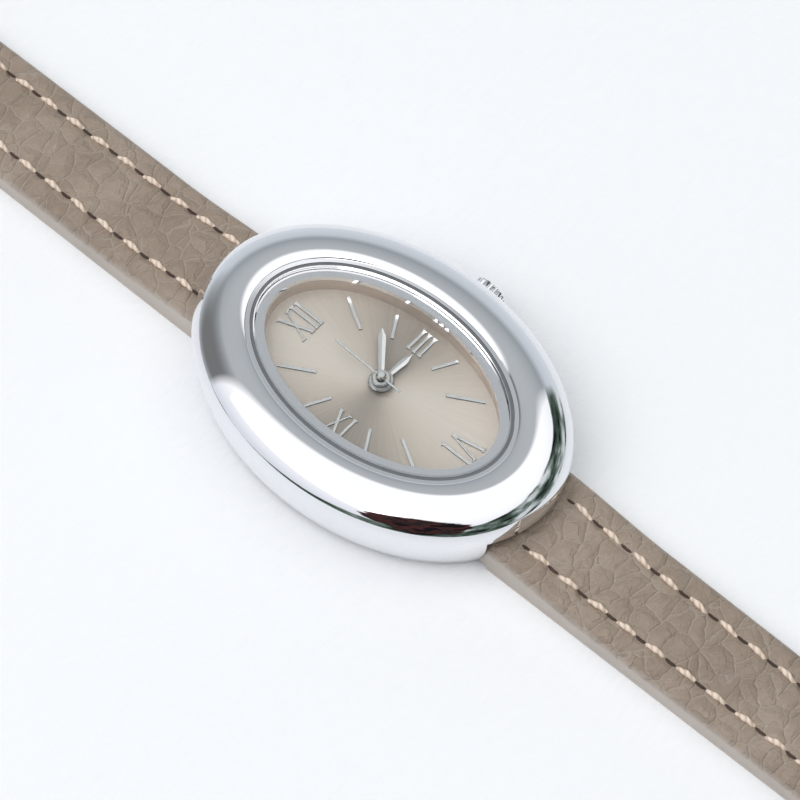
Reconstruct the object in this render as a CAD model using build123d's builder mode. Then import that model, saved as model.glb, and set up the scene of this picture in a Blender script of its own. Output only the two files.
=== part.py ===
from build123d import *

import math
import os

os.makedirs("parts", exist_ok=True)

# The watch lies dial up on its case back. Z is up and starts at the table, Y points to
# 12 o'clock, X to 3 o'clock, and the hands' axis is the Z axis. All sizes are in mm.

# Slim pins and posts are drawn with this many sides, and so is each arc of a hidden oval
pin_sides = 12

# Case
case_length = 33.2
case_width = 23.4
case_bottom_level = 0.35
widest_level = 4.8
dome_top_level = 7.15
flank_depth = 6.3
rim_length = 24.2
rim_width = 15.6
rim_level = 7.0
dome_inner_end_run = 1.3
dome_inner_side_run = 0.7
opening_run = 1.5
ledge_width = 1.0
ledge_thickness = 0.5
flank_steps = 1
dome_steps = 3
cut_overrun = 1.0

# Strap slots under the dome at 12 and 6 o'clock
strap_side_gap = 0.15
slot_depth_from_end = 4.25
slot_top_level = 4.35
slot_corner_radius = 0.6

# Crystal and its gasket
crystal_seat_width = 0.9
crystal_thickness = 0.65
crystal_bevel = 0.12
gasket_wall = 0.25
gasket_height = 0.5

# Case back
back_thickness = 0.7
back_lip = 0.4
back_clearance = 0.05
back_edge_bevel = 0.2
spigot_gap = 0.3
spigot_wall = 0.4
spigot_height = 0.4
back_gasket_height = 0.28
gasket_clearance = 0.02
pry_notch_width = 3.0
pry_notch_depth = 0.3
pry_notch_height = 0.25

# Dial, dial ring and markers
dial_thickness = 0.4
dial_top_level = 4.45
dial_clearance = 0.1
dial_hole_radius = 0.8
marker_height = 0.12
baton_width = 0.25
bold = 0.22
hairline = 0.12
serif_reach = 0.2
long_baton_reach = (5.07, 8.16)
short_baton_reach = (4.07, 6.22)
long_baton_hours = (1, 5, 7, 11)
short_baton_hours = (2, 4, 8, 10)
numeral_xii_reach = (7.0, 9.7)
numeral_vi_reach = (7.0, 9.7)
numeral_side_reach = (3.74, 5.7)
xii_strokes = ((-1.05, -0.05, hairline), (-0.05, -1.05, bold), (0.45, 0.45, bold), (0.95, 0.95, bold))
vi_strokes = ((-0.25, -0.8, bold), (-0.25, 0.3, hairline), (0.8, 0.8, bold))
iii_strokes = ((-0.55, -0.55, bold), (0.0, 0.0, bold), (0.55, 0.55, bold))
ix_strokes = ((-0.7, -0.7, bold), (-0.15, 0.7, hairline), (0.7, -0.15, bold))

# Hands, shown at eight minutes past three
hour_hand_angle = 94.0
minute_hand_angle = 49.5
second_hand_angle = 1.5
hour_hand_length = 3.35
hour_hand_waist = 0.34
hour_hand_width = 0.56
hour_boss_radius = 1.0
hour_boss_height = 0.25
hour_hand_level = 4.85
minute_hand_length = 4.55
minute_hand_waist = 0.4
minute_hand_width = 0.62
minute_boss_radius = 0.75
minute_boss_height = 0.27
minute_hand_level = 5.2
second_hand_length = 4.8
second_hand_tail = 1.95
second_hand_width = 0.16
second_hub_radius = 0.36
second_hub_height = 0.4
second_hand_level = 5.52
hand_thickness = 0.12
hand_edge_thickness = 0.05
needle_thickness = 0.06
hand_tip_run = 0.8
hub_bevel = 0.1

# Movement levels and outline
holder_end_wall = 1.4
holder_side_wall = 0.6
bridge_bottom_level = 1.3
bridge_thickness = 0.35
plate_bottom_level = 3.3
recess_depth = 0.45
recess_margin = 0.2
holder_bottom_level = 1.15
holder_clearance = 0.05
holder_ledge = 0.3
pillar_radius = 0.5
pillar_places = ((-4.6, 4.2), (2.9, 3.1), (-3.4, -1.7))
bridge_margin = 0.8
bridge_corner = (1.4, -1.8)
board_post_radius = 0.35
board_post_places = ((-4.4, -4.2), (5.0, -3.4))

# Going train: wheel teeth, pinion leaves, planes and arbors
wheel_thickness = 0.15
pinion_thickness = 0.32
arbor_radius = 0.1
pivot_clearance = 0.04
end_shake = 0.01
train_centre_distance = 2.65
rotor_centre_distance = 1.9
third_direction = 150.0
fifth_direction = 80.0
rotor_direction = 75.0
pinion_leaves = 6
third_teeth = 45
centre_teeth = 48
seconds_teeth = 36
fifth_teeth = 30
centre_wheel_level = 3.05
third_wheel_level = 2.7
seconds_wheel_level = 2.25
seconds_wheel_thickness = 0.28
fifth_wheel_level = 1.85
magnet_radius = 0.72
magnet_height = 0.7
magnet_level = 2.2
tooth_addendum_share = 0.65
tooth_dedendum_share = 1.25
seconds_arbor_radius = 0.14
seconds_arbor_top_level = 5.8
cannon_bore_radius = 0.18
cannon_tube_radius = 0.45
cannon_top_level = 5.4
hour_tube_bore_radius = 0.48
hour_tube_radius = 0.66
hour_tube_top_level = 5.02

# Motion work under the dial
motion_centre_distance = 2.4
minute_direction = -32.0
setting_direction = 0.0
cannon_teeth = 12
minute_teeth = 36
minute_pinion_teeth = 10
hour_teeth = 40
setting_teeth = 18
minute_wheel_level = 3.62
hour_wheel_level = 3.82
minute_pinion_thickness = 0.2
motion_wheel_thickness = 0.14
motion_post_radius = 0.19

# Electric parts
battery_radius = 3.4
battery_height = 2.1
battery_base_level = 1.15
battery_place = (-0.3, -6.0)
battery_gap = 0.12
clip_thickness = 0.12
clip_width = 1.6
clip_overhang = 0.5
board_thickness = 0.2
board_top_level = 1.35
board_edge_y = -2.75
resonator_radius = 0.6
resonator_length = 3.6
resonator_place = (3.85, -4.5)
coil_radius = 0.82
coil_flange_radius = 0.92
coil_flange_thickness = 0.3
coil_length = 5.4
coil_place_y = 7.2
coil_level = 2.25
core_width = 0.7
core_thickness = 0.3
core_length = 8.0
core_clearance = 0.02
stator_thickness = 0.3
stator_ring_radius = 1.3
stator_bore_radius = 0.82
stator_foot_radius = 0.45
stator_foot_place = 3.5
stator_foot_run = 1.1

# Crown, stem and setting parts on the axis at 3 o'clock
stem_level = 2.5
stem_radius = 0.45
stem_inner_end = 2.95
stem_groove_place = 5.35
stem_groove_width = 0.34
stem_groove_radius = 0.25
stem_screw_depth = 0.35
crown_radius = 1.5
crown_face_gap = 0.02
crown_length = 1.3
crown_recess_radius = 1.0
crown_recess_depth = 0.75
crown_flutes = 18
crown_flute_depth = 0.14
crown_land_share = 0.4
crown_cap_radius = 1.3
crown_cap_height = 0.15
crown_travel = 0.9
tube_radius = 0.95
tube_bore_radius = 0.7
tube_seat_gap = 0.3
tube_standout = 0.65
seal_depth_in_tube = 2.65
seal_thickness = 0.3
running_clearance = 0.02
setting_pinion_teeth = 14
setting_pinion_radius = 1.05
setting_pinion_place = 3.1
setting_pinion_length = 0.7
window_margin = 0.1
window_width = 1.6
guide_place = 4.9
guide_thickness = 0.3
guide_width = 1.5
guide_drop = 1.45
lever_reach = 1.85
lever_bite = 0.114
lever_nose_radius = 0.1
lever_thickness = 0.2
lever_pivot_radius = 0.2
lever_eye_radius = 0.38

# Spring bars
bar_radius = 0.65
bar_tip_radius = 0.26
bar_tip_hole_radius = 0.3
bar_tip_reach = 0.45
bar_level = 1.9
bar_inset = 2.9
bar_side_gap = 0.1

# Straps
strap_case_width = 9.6
loop_radius = 1.2
loop_clearance = 0.1
lining_thickness = 0.55
strap_case_thickness = 3.3
strap_body_thickness = 2.55
strap_end_thickness = 1.9
strap_crown_rise = 0.38
strap_shoulder_width = 1.9
strap_shoulder_drop = 0.08
pad_run = 11.0
buckle_strap_length = 68.0
buckle_strap_end_width = 8.5
buckle_strap_lift = 1.15
taper_start_from_buckle = 40.0
taper_end_from_buckle = 23.0
hole_strap_length = 100.0
hole_strap_end_width = 8.0
hole_strap_tip_length = 4.5
tip_shoulder_share = 0.78
tip_shoulder_run = 2.2
hole_count = 7
hole_pitch = 6.0
hole_radius = 0.75
first_hole_from_tip = 17.0
pad_shares = (0.3, 0.5, 0.75)
taper_shares = (0.0, 0.24, 0.5, 0.76, 1.0)
hole_strap_shares = (0.4, 0.7, 1.0)

# Keepers
keeper_wall = 0.8
keeper_gap = 0.3
keeper_length = 4.0
keeper_inner_height = 3.9
keeper_round = 0.9
fixed_keeper_from_buckle = 8.0
free_keeper_from_buckle = 19.0

# Buckle
buckle_bar_radius = 0.45
buckle_arm_width = 1.5
buckle_inner_width = 10.0
buckle_back_run = 1.4
buckle_front_run = 8.2
buckle_thickness = 1.9
buckle_front_width = 1.9
buckle_front_round = 2.4
buckle_arm_round = 0.6
buckle_inner_round = 1.3
buckle_bevel = 0.35
tongue_width = 0.9
tongue_thickness = 0.75
tongue_neck_run = 2.4
tongue_overhang = 0.3
tongue_collar_radius = 0.9
tongue_collar_width = 1.8
tongue_rest_gap = 0.02
tongue_slot_width = 2.4
tongue_slot_length = 3.6
tongue_slot_round = 0.8

# Worked out from the sizes above
crest_width = rim_width + 2 * dome_inner_side_run
crest_length = rim_length + 2 * dome_inner_end_run
opening_width = rim_width - 2 * opening_run
opening_length = rim_length - 2 * opening_run
bore_width = opening_width + 2 * ledge_width
bore_length = opening_length + 2 * ledge_width
crystal_width = opening_width + 2 * crystal_seat_width
crystal_length = opening_length + 2 * crystal_seat_width
movement_width = bore_width - 2 * holder_side_wall
movement_length = bore_length - 2 * holder_end_wall
ledge_top_level = rim_level - crystal_thickness
ledge_bottom_level = ledge_top_level - ledge_thickness
case_back_width = bore_width + 2 * back_lip
case_back_length = bore_length + 2 * back_lip
spigot_width = bore_width - 2 * spigot_gap
spigot_length = bore_length - 2 * spigot_gap
dial_width = bore_width - 2 * dial_clearance
dial_length = bore_length - 2 * dial_clearance
dial_bottom_level = dial_top_level - dial_thickness
plate_top_level = dial_bottom_level
recess_level = plate_top_level - recess_depth
bridge_top_level = bridge_bottom_level + bridge_thickness
arbor_bottom_level = bridge_top_level + end_shake
arbor_top_level = plate_bottom_level - end_shake
holder_inner_width = movement_width - 2 * holder_ledge
holder_inner_length = movement_length - 2 * holder_ledge
slot_wall_y = case_length / 2 - slot_depth_from_end
slot_width = strap_case_width + 2 * strap_side_gap
bar_y = case_length / 2 - bar_inset
crown_inner_face = case_width / 2 + crown_face_gap
crown_outer_face = crown_inner_face + crown_length
tube_inner_end = bore_width / 2 + tube_seat_gap
tube_outer_end = case_width / 2 + tube_standout
seal_place = tube_outer_end - seal_depth_in_tube
stator_level = coil_level + core_thickness / 2
pinion_run = setting_pinion_length + crown_travel
pinion_middle = setting_pinion_place + pinion_run / 2
setting_pinion_module = setting_pinion_radius / (setting_pinion_teeth / 2 + tooth_addendum_share)
pinion_offset = (pinion_thickness - wheel_thickness) / 2
lever_bottom_level = stem_level - lever_thickness / 2
lever_nose = (stem_groove_place, -stem_radius + lever_bite - lever_nose_radius)
lever_half_swing = math.asin(crown_travel / 2 / lever_reach)
lever_pivot = (
    stem_groove_place + crown_travel / 2,
    lever_nose[1] - lever_reach * math.cos(lever_half_swing),
)
buckle_bar_y = bar_y + buckle_strap_length
buckle_bar_level = buckle_strap_lift + strap_end_thickness / 2
buckle_front_y = buckle_bar_y + buckle_front_run
buckle_length = buckle_back_run + buckle_front_run
lining_end = buckle_strap_length - strap_end_thickness / 2
taper_start = buckle_strap_length - taper_start_from_buckle
taper_end = buckle_strap_length - taper_end_from_buckle
pad_places = [loop_radius, *[pad_run * share for share in pad_shares], pad_run]
taper_places = [taper_start + (taper_end - taper_start) * share for share in taper_shares]
buckle_strap_places = [*pad_places, *taper_places, buckle_strap_length]
hole_strap_places = [*pad_places, *[hole_strap_length * share for share in hole_strap_shares]]


def polar(distance, degrees, start=(0.0, 0.0)):
    """A point at a distance from start, with the direction turned from the X axis."""
    angle = math.radians(degrees)
    return (start[0] + distance * math.cos(angle), start[1] + distance * math.sin(angle))


third_module = 2 * train_centre_distance / (pinion_leaves + third_teeth)
centre_module = 2 * train_centre_distance / (pinion_leaves + centre_teeth)
seconds_module = 2 * train_centre_distance / (pinion_leaves + seconds_teeth)
fifth_module = 2 * rotor_centre_distance / (pinion_leaves + fifth_teeth)
setting_module = 2 * motion_centre_distance / (cannon_teeth + minute_teeth)
hour_module = 2 * motion_centre_distance / (minute_pinion_teeth + hour_teeth)
third_place = polar(train_centre_distance, third_direction)
fifth_place = polar(train_centre_distance, fifth_direction)
rotor_place = polar(rotor_centre_distance, rotor_direction, fifth_place)
minute_place = polar(motion_centre_distance, minute_direction)
setting_distance = setting_module * (minute_teeth + setting_teeth) / 2
setting_place = polar(setting_distance, setting_direction, minute_place)

# The setting wheel's teeth follow on from those of the minute wheel
minute_first_tooth = minute_direction + 180 + 180 / minute_teeth
minute_lead = (setting_direction - minute_first_tooth) % (360 / minute_teeth)
setting_tooth = setting_direction + 180 + minute_lead * minute_teeth / setting_teeth


def cylinder_between(radius, bottom, top, place=(0.0, 0.0), mode=Mode.ADD):
    """A round post on a Z axis, in the part that is open."""
    with BuildSketch(Plane.XY.offset(bottom)) as profile:
        with Locations(place):
            Circle(radius)
    extrude(profile.sketch, amount=top - bottom, mode=mode)


def oval(width, length, mode=Mode.ADD, sides=0):
    """An oval of four tangent arcs with its long axis on Y, in the sketch that is open.

    With sides, each arc becomes that many straight sides.
    """
    end = length / 2
    side = width / 2
    diagonal = math.hypot(end, side)
    end_radius = diagonal * (diagonal - (end - side)) / length
    side_radius = diagonal * (diagonal + (end - side)) / width
    lean = (end - end_radius) / (side_radius - end_radius)
    x = end_radius * math.sqrt(1 - lean * lean)
    y = end - end_radius + end_radius * lean
    kept = Mode.PRIVATE if sides else Mode.ADD
    with BuildLine() as outline:
        arcs = (
            ThreePointArc((x, y), (0, end), (-x, y), mode=kept),
            ThreePointArc((-x, y), (-side, 0), (-x, -y), mode=kept),
            ThreePointArc((-x, -y), (0, -end), (x, -y), mode=kept),
            ThreePointArc((x, -y), (side, 0), (x, y), mode=kept),
        )
        if sides:
            Polyline(*[arc @ (step / sides) for arc in arcs for step in range(sides)], close=True)
    make_face(outline.edges(), mode=mode)


def oval_between(width, length, bottom, top, mode=Mode.ADD, sides=0):
    """A flat oval plate, in the part that is open."""
    with BuildSketch(Plane.XY.offset(bottom)) as profile:
        oval(width, length, sides=sides)
    extrude(profile.sketch, amount=top - bottom, mode=mode)


def oval_ring(width, length, inner_width, inner_length, bottom, top, sides=0):
    """A flat oval ring, in the part that is open."""
    with BuildSketch(Plane.XY.offset(bottom)) as profile:
        oval(width, length, sides=sides)
        oval(inner_width, inner_length, mode=Mode.SUBTRACT, sides=sides)
    extrude(profile.sketch, amount=top - bottom)


def pin_between(radius, bottom, top, place, mode=Mode.ADD):
    """A slim post on a Z axis with few sides, in the part that is open."""
    with BuildSketch(Plane((*place, bottom))) as profile:
        RegularPolygon(radius, pin_sides)
    extrude(profile.sketch, amount=top - bottom, mode=mode)


def bar_across(radius, half_width, place_y, level, mode=Mode.ADD):
    """A round bar along X, in the part that is open."""
    with BuildSketch(Plane.YZ.offset(-half_width)) as profile:
        with Locations((place_y, level)):
            Circle(radius)
    extrude(profile.sketch, amount=2 * half_width, mode=mode)


def pin_along(radius, start_x, length, place_y, level, mode=Mode.ADD):
    """A slim post along X with few sides, in the part that is open."""
    start = Plane((start_x, place_y, level), x_dir=(0, 1, 0), z_dir=(1, 0, 0))
    with BuildSketch(start) as profile:
        RegularPolygon(radius, pin_sides)
    extrude(profile.sketch, amount=length, mode=mode)


def pin_across(radius, half_width, place_y, level, mode=Mode.ADD):
    """The same, as far to the left of the middle as to the right."""
    pin_along(radius, -half_width, 2 * half_width, place_y, level, mode)


def tooth_points(teeth, module, first_tooth):
    """The outline of a gear with pointed teeth, one of them at first_tooth degrees."""
    tip = module * (teeth / 2 + tooth_addendum_share)
    root = module * (teeth / 2 - tooth_dedendum_share)
    points = []
    for index in range(teeth):
        angle = first_tooth + index * 360 / teeth
        points.append(polar(tip, angle))
        points.append(polar(root, angle + 180 / teeth))
    return points


def gear(teeth, module, first_tooth, bottom, thickness, place=(0.0, 0.0)):
    """A toothed disc, in the part that is open."""
    with BuildSketch(Plane((*place, bottom))) as profile:
        with BuildLine():
            Polyline(*tooth_points(teeth, module, first_tooth), close=True)
        make_face()
    extrude(profile.sketch, amount=thickness)


# Case: one skin runs from the bottom edge out to the flank, over the dome and down to the rim
def outline_size(turn):
    """Width and length of the skin between its crest, at a quarter turn, and its widest ellipse."""
    share = math.cos(turn)
    return (crest_width + (case_width - crest_width) * share,
            crest_length + (case_length - crest_length) * share)


def case_outlines():
    """Width, length and level of each ellipse that the skin passes through."""
    outlines = []
    bottom_turn = math.asin((widest_level - case_bottom_level) / flank_depth)
    for step in range(flank_steps):
        turn = bottom_turn * (1 - step / flank_steps)
        level = widest_level - flank_depth * math.sin(turn)
        outlines.append((*outline_size(turn), level))
    for step in range(dome_steps + 1):
        turn = math.radians(90 * step / dome_steps)
        level = widest_level + (dome_top_level - widest_level) * math.sin(turn)
        outlines.append((*outline_size(turn), level))
    outlines.append((rim_width, rim_length, rim_level))
    return outlines


with BuildPart() as case:
    for outline_width, outline_length, outline_level in case_outlines():
        with BuildSketch(Plane.XY.offset(outline_level)):
            Ellipse(outline_width / 2, outline_length / 2)
    loft(ruled=True)
    oval_between(bore_width, bore_length, case_bottom_level, ledge_bottom_level, Mode.SUBTRACT)
    oval_between(
        case_back_width + 2 * back_clearance,
        case_back_length + 2 * back_clearance,
        case_bottom_level,
        back_thickness,
        Mode.SUBTRACT,
    )
    oval_between(opening_width, opening_length, ledge_bottom_level, ledge_top_level, Mode.SUBTRACT)
    oval_between(
        crystal_width + 2 * (gasket_wall + gasket_clearance),
        crystal_length + 2 * (gasket_wall + gasket_clearance),
        ledge_top_level,
        dome_top_level + cut_overrun,
        Mode.SUBTRACT,
    )
    slot_run = slot_depth_from_end + cut_overrun
    for side in (1, -1):
        with BuildSketch(Plane.XY):
            with Locations((0, side * (slot_wall_y + slot_run / 2))):
                RectangleRounded(slot_width, slot_run, slot_corner_radius)
        extrude(amount=slot_top_level, mode=Mode.SUBTRACT)
        pin_across(bar_tip_hole_radius, slot_width / 2 + bar_tip_reach, side * bar_y, bar_level,
                   Mode.SUBTRACT)
    with BuildSketch(Plane.YZ):
        with Locations((0, stem_level)):
            Circle(tube_radius)
    extrude(amount=case_width, mode=Mode.SUBTRACT)
case.part.label = "case"
export_step(case.part, "parts/case.step")

# Crystal, gaskets and case back
with BuildPart() as crystal:
    oval_between(crystal_width, crystal_length, ledge_top_level, rim_level)
    chamfer(crystal.faces().sort_by(Axis.Z)[-1].edges(), crystal_bevel)
crystal.part.label = "crystal"
export_step(crystal.part, "parts/crystal.step")

with BuildPart() as crystal_gasket:
    oval_ring(
        crystal_width + 2 * gasket_wall,
        crystal_length + 2 * gasket_wall,
        crystal_width,
        crystal_length,
        ledge_top_level,
        ledge_top_level + gasket_height,
    )
crystal_gasket.part.label = "crystal_gasket"
export_step(crystal_gasket.part, "parts/crystal_gasket.step")

with BuildPart() as case_back:
    oval_between(case_back_width, case_back_length, 0, back_thickness)
    chamfer(case_back.faces().sort_by(Axis.Z)[0].edges(), back_edge_bevel)
    oval_ring(
        spigot_width,
        spigot_length,
        spigot_width - 2 * spigot_wall,
        spigot_length - 2 * spigot_wall,
        back_thickness,
        back_thickness + spigot_height,
        pin_sides,
    )
    with BuildSketch(Plane.XY):
        with Locations((-case_back_width / 2, 0)):
            Rectangle(2 * pry_notch_depth, pry_notch_width)
    extrude(amount=pry_notch_height, mode=Mode.SUBTRACT)
case_back.part.label = "case_back"
export_step(case_back.part, "parts/case_back.step")

with BuildPart() as case_back_gasket:
    oval_ring(
        bore_width - 2 * gasket_clearance,
        bore_length - 2 * gasket_clearance,
        spigot_width + 2 * gasket_clearance,
        spigot_length + 2 * gasket_clearance,
        back_thickness,
        back_thickness + back_gasket_height,
        pin_sides,
    )
case_back_gasket.part.label = "case_back_gasket"
export_step(case_back_gasket.part, "parts/case_back_gasket.step")

# Dial, and the polished ring between dial and crystal
with BuildPart() as dial:
    oval_between(dial_width, dial_length, dial_bottom_level, dial_top_level)
    cylinder_between(dial_hole_radius, dial_bottom_level, dial_top_level, mode=Mode.SUBTRACT)
dial.part.label = "dial"
export_step(dial.part, "parts/dial.step")

with BuildPart() as dial_ring:
    oval_ring(dial_width, dial_length, opening_width, opening_length, dial_top_level,
              ledge_bottom_level)
dial_ring.part.label = "dial_ring"
export_step(dial_ring.part, "parts/dial_ring.step")


# Hour markers: batons, and Roman numerals built of strokes with their feet to the centre
def dial_plane(clock_degrees, level):
    """A plane at a level whose Y axis points outward at an angle clockwise from 12."""
    angle = math.radians(clock_degrees)
    return Plane((0, 0, level), x_dir=(math.cos(angle), -math.sin(angle), 0), z_dir=(0, 0, 1))


def stroke(start, end, width):
    """A straight bar from start to end, in the sketch that is open."""
    run = (end[0] - start[0], end[1] - start[1])
    middle = (start[0] + run[0] / 2, start[1] + run[1] / 2, 0)
    turn = math.degrees(math.atan2(run[1], run[0]))
    with Locations(Location(middle, (0, 0, turn))):
        Rectangle(math.hypot(*run), width)


def numeral(strokes, clock_degrees, reach):
    """A Roman numeral in the part that is open; each stroke has a foot, a head and a weight."""
    foot, head = reach
    with BuildSketch(dial_plane(clock_degrees, dial_top_level)) as profile:
        for foot_x, head_x, weight in strokes:
            stroke((foot_x, foot), (head_x, head), weight)
        for end_index, end_y in ((0, foot), (1, head)):
            ends = [item[end_index] for item in strokes]
            for end_x in ends:
                if ends.count(end_x) == 1:
                    stroke((end_x - serif_reach, end_y), (end_x + serif_reach, end_y), hairline)
    extrude(profile.sketch, amount=marker_height)


with BuildPart() as numeral_12:
    numeral(xii_strokes, 0, numeral_xii_reach)
numeral_12.part.label = "numeral_12"
export_step(numeral_12.part, "parts/numeral_12.step")

with BuildPart() as numeral_3:
    numeral(iii_strokes, 90, numeral_side_reach)
numeral_3.part.label = "numeral_3"
export_step(numeral_3.part, "parts/numeral_3.step")

with BuildPart() as numeral_6:
    numeral(vi_strokes, 180, numeral_vi_reach)
numeral_6.part.label = "numeral_6"
export_step(numeral_6.part, "parts/numeral_6.step")

with BuildPart() as numeral_9:
    numeral(ix_strokes, 270, numeral_side_reach)
numeral_9.part.label = "numeral_9"
export_step(numeral_9.part, "parts/numeral_9.step")

with BuildPart() as baton_markers:
    for baton_hours, reach in ((long_baton_hours, long_baton_reach),
                               (short_baton_hours, short_baton_reach)):
        inner, outer = reach
        for hour in baton_hours:
            with BuildSketch(dial_plane(30 * hour, dial_top_level)):
                with Locations((0, (inner + outer) / 2)):
                    Rectangle(baton_width, outer - inner)
            extrude(amount=marker_height)
baton_markers.part.label = "baton_markers"
export_step(baton_markers.part, "parts/baton_markers.step")


# Hands: roofed blades on turned bosses
def blade(clock_degrees, level, waist, width, length):
    """A pointed blade with a ridge along its middle, in the part that is open."""
    plane = dial_plane(clock_degrees, level)
    shoulder = length - hand_tip_run
    with BuildSketch(plane) as profile:
        with BuildLine():
            Polyline(
                (-waist / 2, 0),
                (waist / 2, 0),
                (width / 2, shoulder),
                (0, length),
                (-width / 2, shoulder),
                close=True,
            )
        make_face()
    extrude(profile.sketch, amount=hand_thickness)
    with BuildSketch(Plane(plane.origin, x_dir=plane.x_dir, z_dir=-plane.y_dir)) as profile:
        with BuildLine():
            Polyline(
                (-width / 2, 0),
                (width / 2, 0),
                (width / 2, hand_edge_thickness),
                (0, hand_thickness),
                (-width / 2, hand_edge_thickness),
                close=True,
            )
        make_face()
    extrude(profile.sketch, amount=-length, mode=Mode.INTERSECT)


def turned_boss(radius, bottom, height):
    """A round boss with a bevelled top edge, in the part that is open."""
    with BuildSketch(Plane.XZ) as profile:
        with BuildLine():
            Polyline(
                (0, bottom),
                (radius, bottom),
                (radius, bottom + height - hub_bevel),
                (radius - hub_bevel, bottom + height),
                (0, bottom + height),
                close=True,
            )
        make_face()
    revolve(profile.sketch, axis=Axis.Z)


with BuildPart() as hour_hand:
    blade(hour_hand_angle, hour_hand_level, hour_hand_waist, hour_hand_width, hour_hand_length)
    turned_boss(hour_boss_radius, hour_hand_level, hour_boss_height)
    pin_between(hour_tube_radius, hour_hand_level, hour_hand_level + hour_boss_height, (0, 0),
                Mode.SUBTRACT)
hour_hand.part.label = "hour_hand"
export_step(hour_hand.part, "parts/hour_hand.step")

with BuildPart() as minute_hand:
    blade(minute_hand_angle, minute_hand_level, minute_hand_waist, minute_hand_width,
          minute_hand_length)
    turned_boss(minute_boss_radius, minute_hand_level, minute_boss_height)
    pin_between(cannon_tube_radius, minute_hand_level, minute_hand_level + minute_boss_height,
                (0, 0), Mode.SUBTRACT)
minute_hand.part.label = "minute_hand"
export_step(minute_hand.part, "parts/minute_hand.step")

with BuildPart() as second_hand:
    with BuildSketch(dial_plane(second_hand_angle, second_hand_level)):
        with Locations((0, (second_hand_length - second_hand_tail) / 2)):
            Rectangle(second_hand_width, second_hand_length + second_hand_tail)
    extrude(amount=needle_thickness)
    turned_boss(second_hub_radius, second_hand_level, second_hub_height)
    pin_between(seconds_arbor_radius, second_hand_level, seconds_arbor_top_level, (0, 0),
                Mode.SUBTRACT)
second_hand.part.label = "second_hand"
export_step(second_hand.part, "parts/second_hand.step")

# Movement: holder, main plate with its posts, and the bridge over the train
with BuildPart() as movement_holder:
    oval_ring(dial_width, dial_length, holder_inner_width, holder_inner_length,
              holder_bottom_level, plate_top_level, pin_sides)
    oval_between(movement_width + 2 * holder_clearance, movement_length + 2 * holder_clearance,
                 plate_bottom_level, plate_top_level, Mode.SUBTRACT, pin_sides)
    with BuildSketch(Plane.YZ):
        with Locations((0, stem_level)):
            Rectangle(2 * tube_radius, 2 * tube_radius)
    extrude(amount=bore_width, mode=Mode.SUBTRACT)
movement_holder.part.label = "movement_holder"
export_step(movement_holder.part, "parts/movement_holder.step")

with BuildPart() as main_plate:
    oval_between(movement_width, movement_length, plate_bottom_level, plate_top_level,
                 sides=pin_sides)
    with BuildSketch(Plane.XY.offset(recess_level)):
        Circle(hour_module * hour_teeth / 2 + recess_margin)
        with Locations(minute_place):
            Circle(setting_module * minute_teeth / 2 + recess_margin)
        with Locations(setting_place):
            Circle(setting_module * setting_teeth / 2 + recess_margin)
        make_hull()
    extrude(amount=plate_top_level - recess_level, mode=Mode.SUBTRACT)
    with BuildSketch(Plane.XY.offset(plate_bottom_level)):
        with Locations((pinion_middle, 0)):
            Rectangle(pinion_run + 2 * window_margin, window_width)
    extrude(amount=plate_top_level - plate_bottom_level, mode=Mode.SUBTRACT)
    pin_between(cannon_tube_radius + pivot_clearance, plate_bottom_level, plate_top_level, (0, 0),
                Mode.SUBTRACT)
    for post_place in (minute_place, setting_place):
        pin_between(motion_post_radius, recess_level, plate_top_level, post_place)
    for pillar_place in pillar_places:
        pin_between(pillar_radius, bridge_top_level, plate_bottom_level, pillar_place)
    for post_place in board_post_places:
        pin_between(board_post_radius, board_top_level, plate_bottom_level, post_place)
    for side in (1, -1):
        pin_between(stator_foot_radius, stator_level + stator_thickness, plate_bottom_level,
                    (side * stator_foot_place, coil_place_y))
    with BuildSketch(Plane.XY.offset(plate_bottom_level)):
        with Locations((guide_place, 0)):
            Rectangle(guide_thickness, guide_width)
    extrude(amount=-guide_drop)
    pin_along(stem_radius + pivot_clearance, guide_place - guide_thickness / 2, guide_thickness, 0,
              stem_level, Mode.SUBTRACT)
    pin_between(lever_pivot_radius, lever_bottom_level, plate_bottom_level, lever_pivot)
main_plate.part.label = "main_plate"
export_step(main_plate.part, "parts/main_plate.step")

with BuildPart() as train_bridge:
    with BuildSketch(Plane.XY.offset(bridge_bottom_level)):
        with Locations(*pillar_places, rotor_place, bridge_corner):
            Circle(bridge_margin)
        make_hull()
    extrude(amount=bridge_thickness)
train_bridge.part.label = "train_bridge"
export_step(train_bridge.part, "parts/train_bridge.step")


# Going train: each wheel is phased so that its teeth stand in the gaps of its mate at rest
def wheel_gap(direction, teeth):
    """The first tooth's angle that leaves a gap at the given direction."""
    return direction + 180 / teeth


with BuildPart() as rotor:
    pin_between(arbor_radius, arbor_bottom_level, arbor_top_level, rotor_place)
    cylinder_between(magnet_radius, magnet_level, magnet_level + magnet_height, rotor_place)
    gear(pinion_leaves, fifth_module, rotor_direction + 180, fifth_wheel_level - pinion_offset,
         pinion_thickness, rotor_place)
rotor.part.label = "rotor"
export_step(rotor.part, "parts/rotor.step")

with BuildPart() as fifth_wheel:
    pin_between(arbor_radius, arbor_bottom_level, arbor_top_level, fifth_place)
    gear(fifth_teeth, fifth_module, wheel_gap(rotor_direction, fifth_teeth), fifth_wheel_level,
         wheel_thickness, fifth_place)
    gear(pinion_leaves, seconds_module, fifth_direction + 180, seconds_wheel_level - pinion_offset,
         pinion_thickness, fifth_place)
fifth_wheel.part.label = "fifth_wheel"
export_step(fifth_wheel.part, "parts/fifth_wheel.step")

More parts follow.
